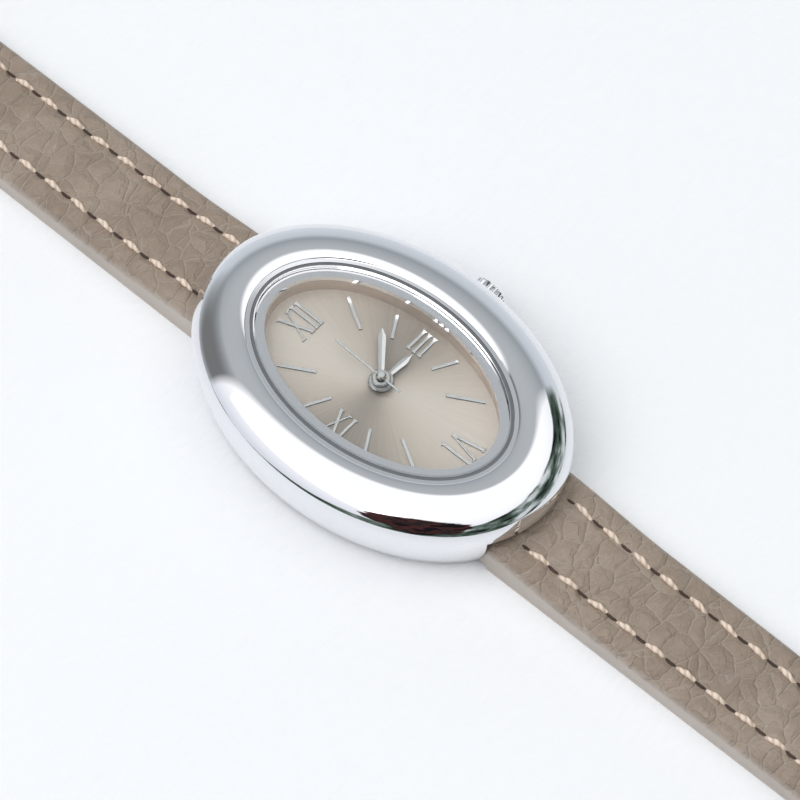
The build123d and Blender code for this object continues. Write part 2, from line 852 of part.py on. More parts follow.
with BuildPart() as seconds_wheel:
    pin_between(seconds_arbor_radius, arbor_bottom_level, seconds_arbor_top_level, (0, 0))
    gear(seconds_teeth, seconds_module, wheel_gap(fifth_direction, seconds_teeth),
         seconds_wheel_level, seconds_wheel_thickness)
    gear(pinion_leaves, third_module, third_direction, third_wheel_level - pinion_offset,
         pinion_thickness)
seconds_wheel.part.label = "seconds_wheel"
export_step(seconds_wheel.part, "parts/seconds_wheel.step")

with BuildPart() as third_wheel:
    pin_between(arbor_radius, arbor_bottom_level, arbor_top_level, third_place)
    gear(third_teeth, third_module, wheel_gap(third_direction + 180, third_teeth),
         third_wheel_level, wheel_thickness, third_place)
    gear(pinion_leaves, centre_module, third_direction + 180, centre_wheel_level - pinion_offset,
         pinion_thickness, third_place)
third_wheel.part.label = "third_wheel"
export_step(third_wheel.part, "parts/third_wheel.step")

with BuildPart() as centre_wheel:
    gear(centre_teeth, centre_module, wheel_gap(third_direction, centre_teeth), centre_wheel_level,
         wheel_thickness)
    pin_between(cannon_tube_radius, centre_wheel_level, cannon_top_level, (0, 0))
    gear(cannon_teeth, setting_module, minute_direction, minute_wheel_level,
         motion_wheel_thickness)
    pin_between(cannon_bore_radius, centre_wheel_level, cannon_top_level, (0, 0), Mode.SUBTRACT)
centre_wheel.part.label = "centre_wheel"
export_step(centre_wheel.part, "parts/centre_wheel.step")

# Motion work: it turns twelve hours of the cannon into one turn of the hour hand
with BuildPart() as minute_wheel:
    gear(minute_teeth, setting_module, minute_first_tooth, minute_wheel_level,
         motion_wheel_thickness, minute_place)
    gear(minute_pinion_teeth, hour_module, minute_direction + 180,
         minute_wheel_level + motion_wheel_thickness, minute_pinion_thickness, minute_place)
    pin_between(motion_post_radius + pivot_clearance, minute_wheel_level,
                hour_wheel_level + motion_wheel_thickness, minute_place, Mode.SUBTRACT)
minute_wheel.part.label = "minute_wheel"
export_step(minute_wheel.part, "parts/minute_wheel.step")

with BuildPart() as hour_wheel:
    gear(hour_teeth, hour_module, wheel_gap(minute_direction, hour_teeth), hour_wheel_level,
         motion_wheel_thickness)
    pin_between(hour_tube_radius, hour_wheel_level, hour_tube_top_level, (0, 0))
    pin_between(hour_tube_bore_radius, hour_wheel_level, hour_tube_top_level, (0, 0),
                Mode.SUBTRACT)
hour_wheel.part.label = "hour_wheel"
export_step(hour_wheel.part, "parts/hour_wheel.step")

with BuildPart() as setting_wheel:
    gear(setting_teeth, setting_module, wheel_gap(setting_tooth, setting_teeth),
         minute_wheel_level, motion_wheel_thickness, setting_place)
    pin_between(motion_post_radius + pivot_clearance, minute_wheel_level,
                minute_wheel_level + motion_wheel_thickness, setting_place, Mode.SUBTRACT)
setting_wheel.part.label = "setting_wheel"
export_step(setting_wheel.part, "parts/setting_wheel.step")

# Electric parts: battery, its clip, circuit board, quartz resonator, coil, core and stator
with BuildPart() as battery:
    cylinder_between(battery_radius, battery_base_level, battery_base_level + battery_height,
                     battery_place)
battery.part.label = "battery"
export_step(battery.part, "parts/battery.step")

with BuildPart() as battery_clip:
    with BuildSketch(Plane.XY.offset(battery_base_level - clip_thickness)):
        with Locations(battery_place):
            Rectangle(2 * (battery_radius + clip_overhang), clip_width)
    extrude(amount=clip_thickness)
battery_clip.part.label = "battery_clip"
export_step(battery_clip.part, "parts/battery_clip.step")

with BuildPart() as circuit_board:
    with BuildSketch(Plane.XY.offset(board_top_level - board_thickness)):
        oval(holder_inner_width - 2 * battery_gap, holder_inner_length - 2 * battery_gap)
        with Locations((0, board_edge_y + movement_length / 2)):
            Rectangle(movement_width, movement_length, mode=Mode.SUBTRACT)
        with Locations(battery_place):
            Circle(battery_radius + battery_gap, mode=Mode.SUBTRACT)
    extrude(amount=board_thickness)
circuit_board.part.label = "circuit_board"
export_step(circuit_board.part, "parts/circuit_board.step")

with BuildPart() as quartz_resonator:
    with BuildSketch(Plane.XZ.offset(-resonator_place[1] - resonator_length / 2)):
        with Locations((resonator_place[0], board_top_level + resonator_radius)):
            Circle(resonator_radius)
    extrude(amount=resonator_length)
quartz_resonator.part.label = "quartz_resonator"
export_step(quartz_resonator.part, "parts/quartz_resonator.step")

with BuildPart() as coil:
    bar_across(coil_radius, coil_length / 2, coil_place_y, coil_level)
    for flange_start in (-coil_length / 2, coil_length / 2 - coil_flange_thickness):
        with BuildSketch(Plane.YZ.offset(flange_start)):
            with Locations((coil_place_y, coil_level)):
                Rectangle(2 * coil_flange_radius, 2 * coil_flange_radius)
        extrude(amount=coil_flange_thickness)
    with BuildSketch(Plane.YZ.offset(-coil_length / 2)):
        with Locations((coil_place_y, coil_level)):
            Rectangle(core_width + 2 * core_clearance, core_thickness + 2 * core_clearance)
    extrude(amount=coil_length, mode=Mode.SUBTRACT)
coil.part.label = "coil"
export_step(coil.part, "parts/coil.step")

with BuildPart() as coil_core:
    with BuildSketch(Plane.XY.offset(coil_level - core_thickness / 2)):
        with Locations((0, coil_place_y)):
            Rectangle(core_length, core_width)
    extrude(amount=core_thickness)
coil_core.part.label = "coil_core"
export_step(coil_core.part, "parts/coil_core.step")

with BuildPart() as stator:
    for side in (1, -1):
        with BuildSketch(Plane.XY.offset(stator_level)):
            with Locations(rotor_place):
                Circle(stator_ring_radius)
            with Locations(
                (side * stator_foot_place, coil_place_y),
                (side * stator_foot_place, coil_place_y - stator_foot_run),
            ):
                RegularPolygon(stator_foot_radius, pin_sides)
            make_hull()
        extrude(amount=stator_thickness)
    with BuildSketch(Plane.XY.offset(stator_level)):
        with Locations((0, coil_place_y)):
            Rectangle(coil_length + 2 * battery_gap, 2 * (coil_flange_radius + battery_gap))
    extrude(amount=stator_thickness, mode=Mode.SUBTRACT)
    cylinder_between(stator_bore_radius, stator_level, stator_level + stator_thickness, rotor_place,
                     Mode.SUBTRACT)
stator.part.label = "stator"
export_step(stator.part, "parts/stator.step")


# Crown, its tube and seal, stem, setting pinion and setting lever
def turned_on_stem(radius, start, length, mode=Mode.ADD):
    """A round length on the stem's axis, in the part that is open."""
    with BuildSketch(Plane.YZ.offset(start)) as profile:
        with Locations((0, stem_level)):
            Circle(radius)
    extrude(profile.sketch, amount=length, mode=mode)


def flute_points():
    """The crown's outline: flat lands with a pointed flute between each two."""
    points = []
    step = 360 / crown_flutes
    for index in range(crown_flutes):
        points.append(polar(crown_radius, index * step))
        points.append(polar(crown_radius, index * step + step * crown_land_share))
        points.append(polar(crown_radius - crown_flute_depth,
                            index * step + step * (1 + crown_land_share) / 2))
    return points


with BuildPart() as crown_tube:
    turned_on_stem(tube_radius, tube_inner_end, tube_outer_end - tube_inner_end)
    pin_along(tube_bore_radius, tube_inner_end, tube_outer_end - tube_inner_end, 0, stem_level,
              Mode.SUBTRACT)
crown_tube.part.label = "crown_tube"
export_step(crown_tube.part, "parts/crown_tube.step")

crown_start = Plane((crown_inner_face, 0, stem_level), x_dir=(0, 1, 0), z_dir=(1, 0, 0))
with BuildPart() as crown:
    with BuildSketch(crown_start):
        with BuildLine():
            Polyline(*flute_points(), close=True)
        make_face()
    extrude(amount=crown_outer_face - crown_cap_height - crown_inner_face)
    turned_on_stem(crown_cap_radius, crown_outer_face - crown_cap_height, crown_cap_height)
    turned_on_stem(crown_recess_radius, crown_inner_face, crown_recess_depth, Mode.SUBTRACT)
    pin_along(stem_radius, crown_inner_face + crown_recess_depth, stem_screw_depth, 0, stem_level,
              Mode.SUBTRACT)
crown.part.label = "crown"
export_step(crown.part, "parts/crown.step")

with BuildPart() as crown_seal:
    pin_along(tube_bore_radius - running_clearance, seal_place, seal_thickness, 0, stem_level)
    turned_on_stem(stem_radius + running_clearance, seal_place, seal_thickness, Mode.SUBTRACT)
crown_seal.part.label = "crown_seal"
export_step(crown_seal.part, "parts/crown_seal.step")

stem_outer_end = crown_inner_face + crown_recess_depth + stem_screw_depth
groove_start = stem_groove_place - stem_groove_width / 2
groove_end = stem_groove_place + stem_groove_width / 2
with BuildPart() as stem:
    pin_along(stem_radius, stem_inner_end, groove_start - stem_inner_end, 0, stem_level)
    pin_along(stem_groove_radius, groove_start, stem_groove_width, 0, stem_level)
    pin_along(stem_radius, groove_end, stem_outer_end - groove_end, 0, stem_level)
stem.part.label = "stem"
export_step(stem.part, "parts/stem.step")

with BuildPart() as setting_pinion:
    pinion_start = Plane((setting_pinion_place, 0, stem_level), x_dir=(0, 1, 0), z_dir=(1, 0, 0))
    with BuildSketch(pinion_start):
        with BuildLine():
            Polyline(*tooth_points(setting_pinion_teeth, setting_pinion_module, 0), close=True)
        make_face()
        RegularPolygon(stem_radius, pin_sides, mode=Mode.SUBTRACT)
    extrude(amount=setting_pinion_length)
setting_pinion.part.label = "setting_pinion"
export_step(setting_pinion.part, "parts/setting_pinion.step")

with BuildPart() as setting_lever:
    with BuildSketch(Plane.XY.offset(lever_bottom_level)):
        with Locations(lever_pivot):
            RegularPolygon(lever_eye_radius, pin_sides)
        with Locations(lever_nose):
            RegularPolygon(lever_nose_radius, pin_sides)
        make_hull()
    extrude(amount=lever_thickness)
    pin_between(lever_pivot_radius + running_clearance, lever_bottom_level,
                lever_bottom_level + lever_thickness, lever_pivot, Mode.SUBTRACT)
setting_lever.part.label = "setting_lever"
export_step(setting_lever.part, "parts/setting_lever.step")


# Spring bars: a body between the slot's walls, and thin tips that enter them
def spring_bar(side):
    """A spring bar along X, in the part that is open."""
    bar_across(bar_radius, slot_width / 2 - bar_side_gap, side * bar_y, bar_level)
    pin_across(bar_tip_radius, slot_width / 2 + bar_tip_reach - running_clearance, side * bar_y,
               bar_level)


with BuildPart() as spring_bar_12:
    spring_bar(1)
spring_bar_12.part.label = "spring_bar_12"
export_step(spring_bar_12.part, "parts/spring_bar_12.step")

with BuildPart() as spring_bar_6:
    spring_bar(-1)
spring_bar_6.part.label = "spring_bar_6"
export_step(spring_bar_6.part, "parts/spring_bar_6.step")


# Straps: a crowned upper that loops round its bar, and a flat lining under it
def ease(place, start, end):
    """A smooth step from 0 at start to 1 at end."""
    part = min(max((place - start) / (end - start), 0), 1)
    return part * part * (3 - 2 * part)


def strap_height(place, length):
    """Thickness at a distance from the bar: padded at the case, skived at the far end."""
    padded = (strap_case_thickness - strap_body_thickness) * (1 - ease(place, loop_radius, pad_run))
    skived = (strap_body_thickness - strap_end_thickness) * ease(place, pad_run, length)
    return strap_body_thickness + padded - skived


def buckle_strap_section(place):
    """Width, underside and top of the strap that carries the buckle."""
    width = strap_case_width + (buckle_strap_end_width - strap_case_width) * ease(
        place, taper_start, taper_end
    )
    under = buckle_strap_lift * ease(place, taper_start, taper_end)
    return width, under, under + strap_height(place, buckle_strap_length)


def hole_strap_section(place):
    """The same for the strap with the holes, which tapers evenly and lies flat."""
    width = strap_case_width + (hole_strap_end_width - strap_case_width) * (
        place / hole_strap_length
    )
    return width, 0, strap_height(place, hole_strap_length)


def section_plane(side, place):
    """The upright plane across a strap at a distance from its spring bar."""
    return Plane((0, side * (bar_y + place), 0), x_dir=(1, 0, 0), z_dir=(0, -1, 0))


def upper_section(width, bottom, top):
    """A crowned section: straight underside and sides, and a low ridge on top."""
    edge = top - strap_crown_rise
    inner = width / 2 - strap_shoulder_width
    with BuildLine() as outline:
        Polyline(
            (-width / 2, edge),
            (-width / 2, bottom),
            (width / 2, bottom),
            (width / 2, edge),
            (inner, top - strap_shoulder_drop),
            (0, top),
            (-inner, top - strap_shoulder_drop),
            close=True,
        )
    make_face(outline.edges())


def strap_upper(side, section, places):
    """The crowned leather from the spring bar to the far end, in the part that is open."""
    with BuildSketch(section_plane(side, 0)) as profile:
        upper_section(strap_case_width, bar_level - loop_radius, bar_level + loop_radius)
    sections = [profile.sketch]
    for place in places:
        width, under, top = section(place)
        with BuildSketch(section_plane(side, place)) as profile:
            upper_section(width, under + lining_thickness, top)
        sections.append(profile.sketch)
    loft(sections, ruled=True)
    pin_across(loop_radius, strap_case_width / 2, side * bar_y, bar_level)
    pin_across(bar_radius + loop_clearance, strap_case_width / 2, side * bar_y, bar_level,
               Mode.SUBTRACT)


def strap_lining(side, section, places):
    """The flat leather under the upper, in the part that is open."""
    sections = []
    for place in places:
        width, under, top = section(place)
        with BuildSketch(section_plane(side, place)) as profile:
            with Locations((0, under + lining_thickness / 2)):
                Rectangle(width, lining_thickness)
        sections.append(profile.sketch)
    loft(sections, ruled=True)


def tongue_slot():
    """The slot in the strap's end that lets the buckle's tongue turn."""
    slot_middle = buckle_bar_y - tongue_slot_length / 2 + loop_radius / 2
    with BuildSketch(Plane.XY) as profile:
        with Locations((0, slot_middle)):
            RectangleRounded(tongue_slot_width, tongue_slot_length + loop_radius, tongue_slot_round)
    extrude(profile.sketch, amount=case_length, mode=Mode.SUBTRACT)


def strap_tip_and_holes():
    """The pointed end's outline and the row of buckle holes, cut in the part that is open."""
    tip_y = -bar_y - hole_strap_length
    root_y = tip_y + hole_strap_tip_length
    half = hole_strap_end_width / 2
    with BuildSketch(Plane.XY) as profile:
        with BuildLine():
            Polyline((-half, root_y), (-case_width, root_y), (-case_width, 0), (case_width, 0),
                     (case_width, root_y), (half, root_y))
            ThreePointArc((half, root_y), (half * tip_shoulder_share, root_y - tip_shoulder_run),
                          (0, tip_y))
            ThreePointArc((0, tip_y), (-half * tip_shoulder_share, root_y - tip_shoulder_run),
                          (-half, root_y))
        make_face()
    extrude(profile.sketch, amount=case_length, mode=Mode.INTERSECT)
    with BuildSketch(Plane.XY) as profile:
        for index in range(hole_count):
            with Locations((0, tip_y + first_hole_from_tip + index * hole_pitch)):
                RegularPolygon(hole_radius, pin_sides)
    extrude(profile.sketch, amount=case_length, mode=Mode.SUBTRACT)


with BuildPart() as strap_12_upper:
    strap_upper(1, buckle_strap_section, buckle_strap_places)
    pin_across(strap_end_thickness / 2, buckle_strap_end_width / 2, buckle_bar_y, buckle_bar_level)
    pin_across(buckle_bar_radius + loop_clearance, buckle_strap_end_width / 2, buckle_bar_y,
               buckle_bar_level, Mode.SUBTRACT)
    tongue_slot()
strap_12_upper.part.label = "strap_12_upper"
export_step(strap_12_upper.part, "parts/strap_12_upper.step")

with BuildPart() as strap_12_lining:
    strap_lining(1, buckle_strap_section, (*buckle_strap_places[:-1], lining_end))
    tongue_slot()
strap_12_lining.part.label = "strap_12_lining"
export_step(strap_12_lining.part, "parts/strap_12_lining.step")

with BuildPart() as strap_6_upper:
    strap_upper(-1, hole_strap_section, hole_strap_places)
    strap_tip_and_holes()
strap_6_upper.part.label = "strap_6_upper"
export_step(strap_6_upper.part, "parts/strap_6_upper.step")

with BuildPart() as strap_6_lining:
    strap_lining(-1, hole_strap_section, hole_strap_places)
    strap_tip_and_holes()
strap_6_lining.part.label = "strap_6_lining"
export_step(strap_6_lining.part, "parts/strap_6_lining.step")


# Keepers: leather loops round the strap that hold its free end
def keeper(place, gap):
    """A rounded loop round the strap at a distance from the bar, in the part that is open."""
    inner_width = buckle_strap_end_width + 2 * gap
    inner_bottom = buckle_strap_lift - gap
    start = Plane.XZ.offset(-bar_y - place - keeper_length / 2)
    with BuildSketch(start) as profile:
        with Locations((0, inner_bottom + keeper_inner_height / 2)):
            RectangleRounded(
                inner_width + 2 * keeper_wall, keeper_inner_height + 2 * keeper_wall, keeper_round
            )
            Rectangle(inner_width, keeper_inner_height, mode=Mode.SUBTRACT)
    extrude(profile.sketch, amount=keeper_length)


with BuildPart() as fixed_keeper:
    keeper(buckle_strap_length - fixed_keeper_from_buckle, 0)
fixed_keeper.part.label = "fixed_keeper"
export_step(fixed_keeper.part, "parts/fixed_keeper.step")

with BuildPart() as free_keeper:
    keeper(buckle_strap_length - free_keeper_from_buckle, keeper_gap)
free_keeper.part.label = "free_keeper"
export_step(free_keeper.part, "parts/free_keeper.step")

# Buckle: a rounded frame, the bar it hangs on, and the tongue that rests on its front
with BuildPart() as buckle_frame:
    frame_width = buckle_inner_width + 2 * buckle_arm_width
    with BuildSketch(Plane.XY.offset(buckle_bar_level - buckle_thickness / 2)) as frame_outline:
        with Locations((0, buckle_front_y - buckle_length / 2)):
            Rectangle(frame_width, buckle_length)
        with Locations((0, buckle_front_y - buckle_front_width - buckle_length / 2)):
            Rectangle(buckle_inner_width, buckle_length, mode=Mode.SUBTRACT)
        fillet(frame_outline.vertices().group_by(Axis.Y)[1], buckle_inner_round)
        fillet(frame_outline.vertices().group_by(Axis.Y)[0], buckle_arm_round)
        fillet(frame_outline.vertices().group_by(Axis.Y)[-1], buckle_front_round)
    extrude(amount=buckle_thickness)
    chamfer(buckle_frame.faces().sort_by(Axis.Z)[-1].edges(), buckle_bevel)
buckle_frame.part.label = "buckle_frame"
export_step(buckle_frame.part, "parts/buckle_frame.step")

with BuildPart() as buckle_bar:
    bar_across(buckle_bar_radius, buckle_inner_width / 2, buckle_bar_y, buckle_bar_level)
buckle_bar.part.label = "buckle_bar"
export_step(buckle_bar.part, "parts/buckle_bar.step")

with BuildPart() as buckle_tongue:
    tongue_level = buckle_bar_level + buckle_thickness / 2 + tongue_rest_gap + tongue_thickness / 2
    with BuildSketch(Plane.YZ.offset(-tongue_width / 2)):
        with Locations((buckle_bar_y, buckle_bar_level)):
            Circle(tongue_collar_radius)
        with Locations((buckle_bar_y + tongue_neck_run, tongue_level)):
            RegularPolygon(tongue_thickness / 2, pin_sides)
        make_hull()
    extrude(amount=tongue_width)
    with BuildSketch(Plane.YZ.offset(-tongue_width / 2)):
        with Locations(
            (buckle_bar_y + tongue_neck_run, tongue_level),
            (buckle_front_y + tongue_overhang, tongue_level),
        ):
            RegularPolygon(tongue_thickness / 2, pin_sides)
        make_hull()
    extrude(amount=tongue_width)
    bar_across(tongue_collar_radius, tongue_collar_width / 2, buckle_bar_y, buckle_bar_level)
    bar_across(buckle_bar_radius + running_clearance, tongue_collar_width / 2, buckle_bar_y,
               buckle_bar_level, Mode.SUBTRACT)
buckle_tongue.part.label = "buckle_tongue"
export_step(buckle_tongue.part, "parts/buckle_tongue.step")
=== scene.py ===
"""A small oval wristwatch with a rounded polished case, a sunray dial and a stitched strap.

It lies dial up on pale ribbed satin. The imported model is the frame: the case, crystal, crown and
the leather are built again here as finer meshes, and the other pieces keep the model's shapes.
"""

import math
import random

import bmesh
import bpy
from mathutils import Matrix, Vector


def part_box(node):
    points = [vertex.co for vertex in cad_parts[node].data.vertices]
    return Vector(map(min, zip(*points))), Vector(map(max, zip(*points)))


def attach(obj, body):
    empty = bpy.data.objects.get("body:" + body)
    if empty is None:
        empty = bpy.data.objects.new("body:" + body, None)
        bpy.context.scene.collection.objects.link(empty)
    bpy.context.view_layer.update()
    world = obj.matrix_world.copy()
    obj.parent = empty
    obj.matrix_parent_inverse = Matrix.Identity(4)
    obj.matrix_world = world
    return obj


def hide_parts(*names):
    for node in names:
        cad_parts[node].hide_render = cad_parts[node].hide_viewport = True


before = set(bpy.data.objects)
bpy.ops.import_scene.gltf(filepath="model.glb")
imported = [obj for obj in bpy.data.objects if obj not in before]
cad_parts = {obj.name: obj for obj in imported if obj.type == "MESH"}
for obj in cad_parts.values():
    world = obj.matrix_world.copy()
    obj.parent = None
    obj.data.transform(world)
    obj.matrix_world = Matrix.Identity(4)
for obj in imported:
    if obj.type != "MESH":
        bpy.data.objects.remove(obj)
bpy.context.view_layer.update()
MM = 0.001


def node_box(node):
    """A node's lowest and highest corners at rest, as two vectors."""
    low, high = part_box(node)
    return Vector(low), Vector(high)


# Node trees: one small builder, then a finish for each kind of piece
class Nodes:
    """Short names for the nodes of one tree, and the coordinates that they start from."""

    def __init__(self, tree, coordinates):
        self.nodes = tree.nodes
        self.links = tree.links
        self.place = self.add("ShaderNodeTexCoord").outputs[coordinates]

    def add(self, kind, **settings):
        node = self.nodes.new(kind)
        for key, value in settings.items():
            setattr(node, key, value)
        return node

    def scaled(self, scale, turn=(0, 0, 0)):
        """The coordinates turned and stretched by three scales."""
        node = self.add("ShaderNodeMapping")
        node.inputs["Scale"].default_value = scale
        node.inputs["Rotation"].default_value = turn
        self.links.new(self.place, node.inputs["Vector"])
        return node.outputs["Vector"]

    def noise(self, scale, detail=3.0, vector=None):
        node = self.add("ShaderNodeTexNoise")
        node.inputs["Scale"].default_value = scale
        node.inputs["Detail"].default_value = detail
        self.links.new(vector or self.place, node.inputs["Vector"])
        return node.outputs["Fac"]

    def cells(self, scale, vector):
        """Distance from the nearest edge between irregular cells."""
        node = self.add("ShaderNodeTexVoronoi", feature="DISTANCE_TO_EDGE")
        node.inputs["Scale"].default_value = scale
        self.links.new(vector, node.inputs["Vector"])
        return node.outputs["Distance"]

    def bands(self, scale, vector=None, direction="X", distortion=0.0):
        """Parallel waves across one direction."""
        node = self.add("ShaderNodeTexWave", bands_direction=direction)
        node.inputs["Scale"].default_value = scale
        node.inputs["Distortion"].default_value = distortion
        self.links.new(vector or self.place, node.inputs["Vector"])
        return node.outputs["Fac"]

    def calculated(self, operation, *values):
        """The result of a sum on values that are numbers or other nodes' outputs."""
        node = self.add("ShaderNodeMath", operation=operation)
        for socket, value in zip(node.inputs, values):
            if isinstance(value, (int, float)):
                socket.default_value = value
            else:
                self.links.new(value, socket)
        return node.outputs[0]

    def plus(self, first, second):
        return self.calculated("ADD", first, second)

    def minus(self, first, second):
        return self.calculated("SUBTRACT", first, second)

    def times(self, first, second):
        return self.calculated("MULTIPLY", first, second)

    def axes(self, vector):
        """A vector's three shares, named X, Y and Z."""
        node = self.add("ShaderNodeSeparateXYZ")
        self.links.new(vector, node.inputs["Vector"])
        return node.outputs

    def spread(self, value, low, high, to_low, to_high):
        """A value taken from one range to another and held at its ends."""
        node = self.add("ShaderNodeMapRange")
        for socket, number in zip(("From Min", "From Max", "To Min", "To Max"),
                                  (low, high, to_low, to_high)):
            node.inputs[socket].default_value = number
        self.links.new(value, node.inputs["Value"])
        return node.outputs["Result"]

    def tint(self, value, *stops):
        """A colour picked from a ramp by a value from 0 to 1."""
        node = self.add("ShaderNodeValToRGB")
        ramp = node.color_ramp
        while len(ramp.elements) < len(stops):
            ramp.elements.new(0.5)
        for element, (place, colour) in zip(ramp.elements, stops):
            element.position = place
            element.color = (*colour, 1)
        self.links.new(value, node.inputs["Fac"])
        return node.outputs["Color"]

    def towards(self, direction):
        """How far the coordinates reach along a direction."""
        node = self.add("ShaderNodeVectorMath", operation="DOT_PRODUCT")
        node.inputs[1].default_value = direction
        self.links.new(self.place, node.inputs[0])
        return node.outputs["Value"]

    def mixed(self, share, first, second):
        """Two colours mixed by a share of the second."""
        node = self.add("ShaderNodeMix", data_type="RGBA")
        self.links.new(share, node.inputs[0])
        for socket, colour in ((node.inputs[6], first), (node.inputs[7], second)):
            if isinstance(colour, tuple):
                socket.default_value = (*colour, 1)
            else:
                self.links.new(colour, socket)
        return node.outputs[2]


class Finish(Nodes):
    """A material with a principled shader."""

    def __init__(self, name, **values):
        self.material = bpy.data.materials.new(name)
        self.material.use_nodes = True
        super().__init__(self.material.node_tree, "Object")
        self.shader = self.nodes["Principled BSDF"]
        for socket, value in values.items():
            self.shader.inputs[socket.replace("_", " ")].default_value = value

    def colour(self, value, *stops):
        self.links.new(self.tint(value, *stops), self.shader.inputs["Base Color"])

    def rough(self, value, low, high):
        self.links.new(self.spread(value, 0, 1, low, high), self.shader.inputs["Roughness"])

    def bump(self, height, distance, strength=1.0, under=None):
        """Relief of a depth in metres, over an earlier relief if one is given."""
        node = self.add("ShaderNodeBump")
        node.inputs["Distance"].default_value = distance
        node.inputs["Strength"].default_value = strength
        self.links.new(height, node.inputs["Height"])
        if under:
            self.links.new(under, node.inputs["Normal"])
        self.links.new(node.outputs["Normal"], self.shader.inputs["Normal"])
        return node.outputs["Normal"]

    def facing_up(self):
        """1 where the surface faces up, 0 where it is upright."""
        return self.axes(self.add("ShaderNodeTexCoord").outputs["Normal"])["Z"]


def polished(name, colour, roughness):
    """Mirror metal with faint handling marks."""
    finish = Finish(name, Metallic=1.0)
    marks = finish.noise(90, 5)
    finish.colour(marks, (0.3, [c * 0.97 for c in colour]), (0.7, colour))
    finish.rough(marks, roughness * 0.6, roughness * 1.5)
    finish.bump(finish.noise(260, 2), 4e-6, 0.35)
    return finish.material


def brushed(name, colour, roughness, stretch=(60, 900, 900)):
    """Satin metal with fine lines along one direction."""
    finish = Finish(name, Metallic=1.0)
    lines = finish.noise(4, 4, finish.scaled(stretch))
    finish.colour(lines, (0.3, [c * 0.86 for c in colour]), (0.7, colour))
    finish.rough(lines, roughness * 0.8, roughness * 1.3)
    finish.bump(lines, 6e-6, 0.5)
    return finish.material


def marker_painted_facets_finish():
    """Cut metal of the markers and hands, with a painted highlight on the flat tops and painted
    shade on the upright sides.
    """
    finish = Finish("cut_marker_metal_painted_facets", Metallic=0.6)
    # Colour by how far a face turns up: painted shade on the sides, a mid tone on slopes, a
    # painted highlight on tops
    side = (0.025, 0.027, 0.027)
    slope = (0.60, 0.62, 0.62)
    top = (0.95, 0.96, 0.95)
    finish.colour(finish.facing_up(), (0.3, side), (0.7, slope), (0.95, top))
    finish.rough(finish.noise(900, 3), 0.14, 0.22)
    return finish.material


def moulded(name, colour, roughness):
    """Plastic, lacquer or rubber with a fine even grain."""
    finish = Finish(name)
    speck = finish.noise(900, 3)
    finish.colour(speck, (0.3, [c * 0.85 for c in colour]), (0.7, colour))
    finish.rough(speck, roughness * 0.9, roughness * 1.1)
    finish.bump(speck, 8e-6, 0.4)
    return finish.material


chrome = polished("polished_case_metal", (0.87, 0.88, 0.905), 0.035)
marker_metal_painted_facets = marker_painted_facets_finish()
steel = brushed("satin_steel", (0.62, 0.62, 0.63), 0.3)
brass = brushed("satin_brass", (0.78, 0.60, 0.30), 0.28)
nickel = brushed("satin_nickel", (0.74, 0.72, 0.68), 0.3)
magnet = moulded("dark_magnet", (0.08, 0.08, 0.09), 0.45)
rubber = moulded("black_rubber", (0.018, 0.02, 0.02), 0.5)
seal_grey = moulded("grey_seal", (0.16, 0.17, 0.18), 0.25)
# The ring is satin metal; its warm pink tint is a painted reflection of the dial
satin_ring_painted_reflection = brushed("warm_satin_ring_painted_reflection", (0.70, 0.62, 0.57), 0.3, (60, 60, 900))
white_plastic = moulded("white_plastic", (0.80, 0.79, 0.74), 0.45)
board = moulded("green_board", (0.03, 0.16, 0.08), 0.35)


def coil_finish():
    """Enamelled copper wire wound round an axis along X, darker between the turns as painted
    shade.
    """
    finish = Finish("copper_winding", Metallic=1.0)
    turns = finish.bands(2600, direction="X")
    # Painted shade in the grooves between the turns, on the same bands as the relief
    finish.colour(turns, (0.2, (0.32, 0.11, 0.04)), (0.7, (0.72, 0.30, 0.12)))
    finish.rough(turns, 0.2, 0.4)
    finish.bump(turns, 3e-5, 0.8)
    return finish.material


def glass_finish():
    """Flat mineral glass, faintly uneven in its polish."""
    finish = Finish("crystal_glass", IOR=1.45, Roughness=0.0, Transmission_Weight=1.0)
    finish.colour(finish.noise(120, 1), (0.2, (0.985, 0.99, 0.99)), (0.8, (1.0, 1.0, 1.0)))
    return finish.material


# The dial's colour has a painted highlight, palest along this direction from the X axis, in
# radians, and opposite it, with painted shade between
PAINTED_HIGHLIGHT_TURN = 1.78
PAINTED_HIGHLIGHT_SWING = 0.76
RAY_CONTRAST = 0.22


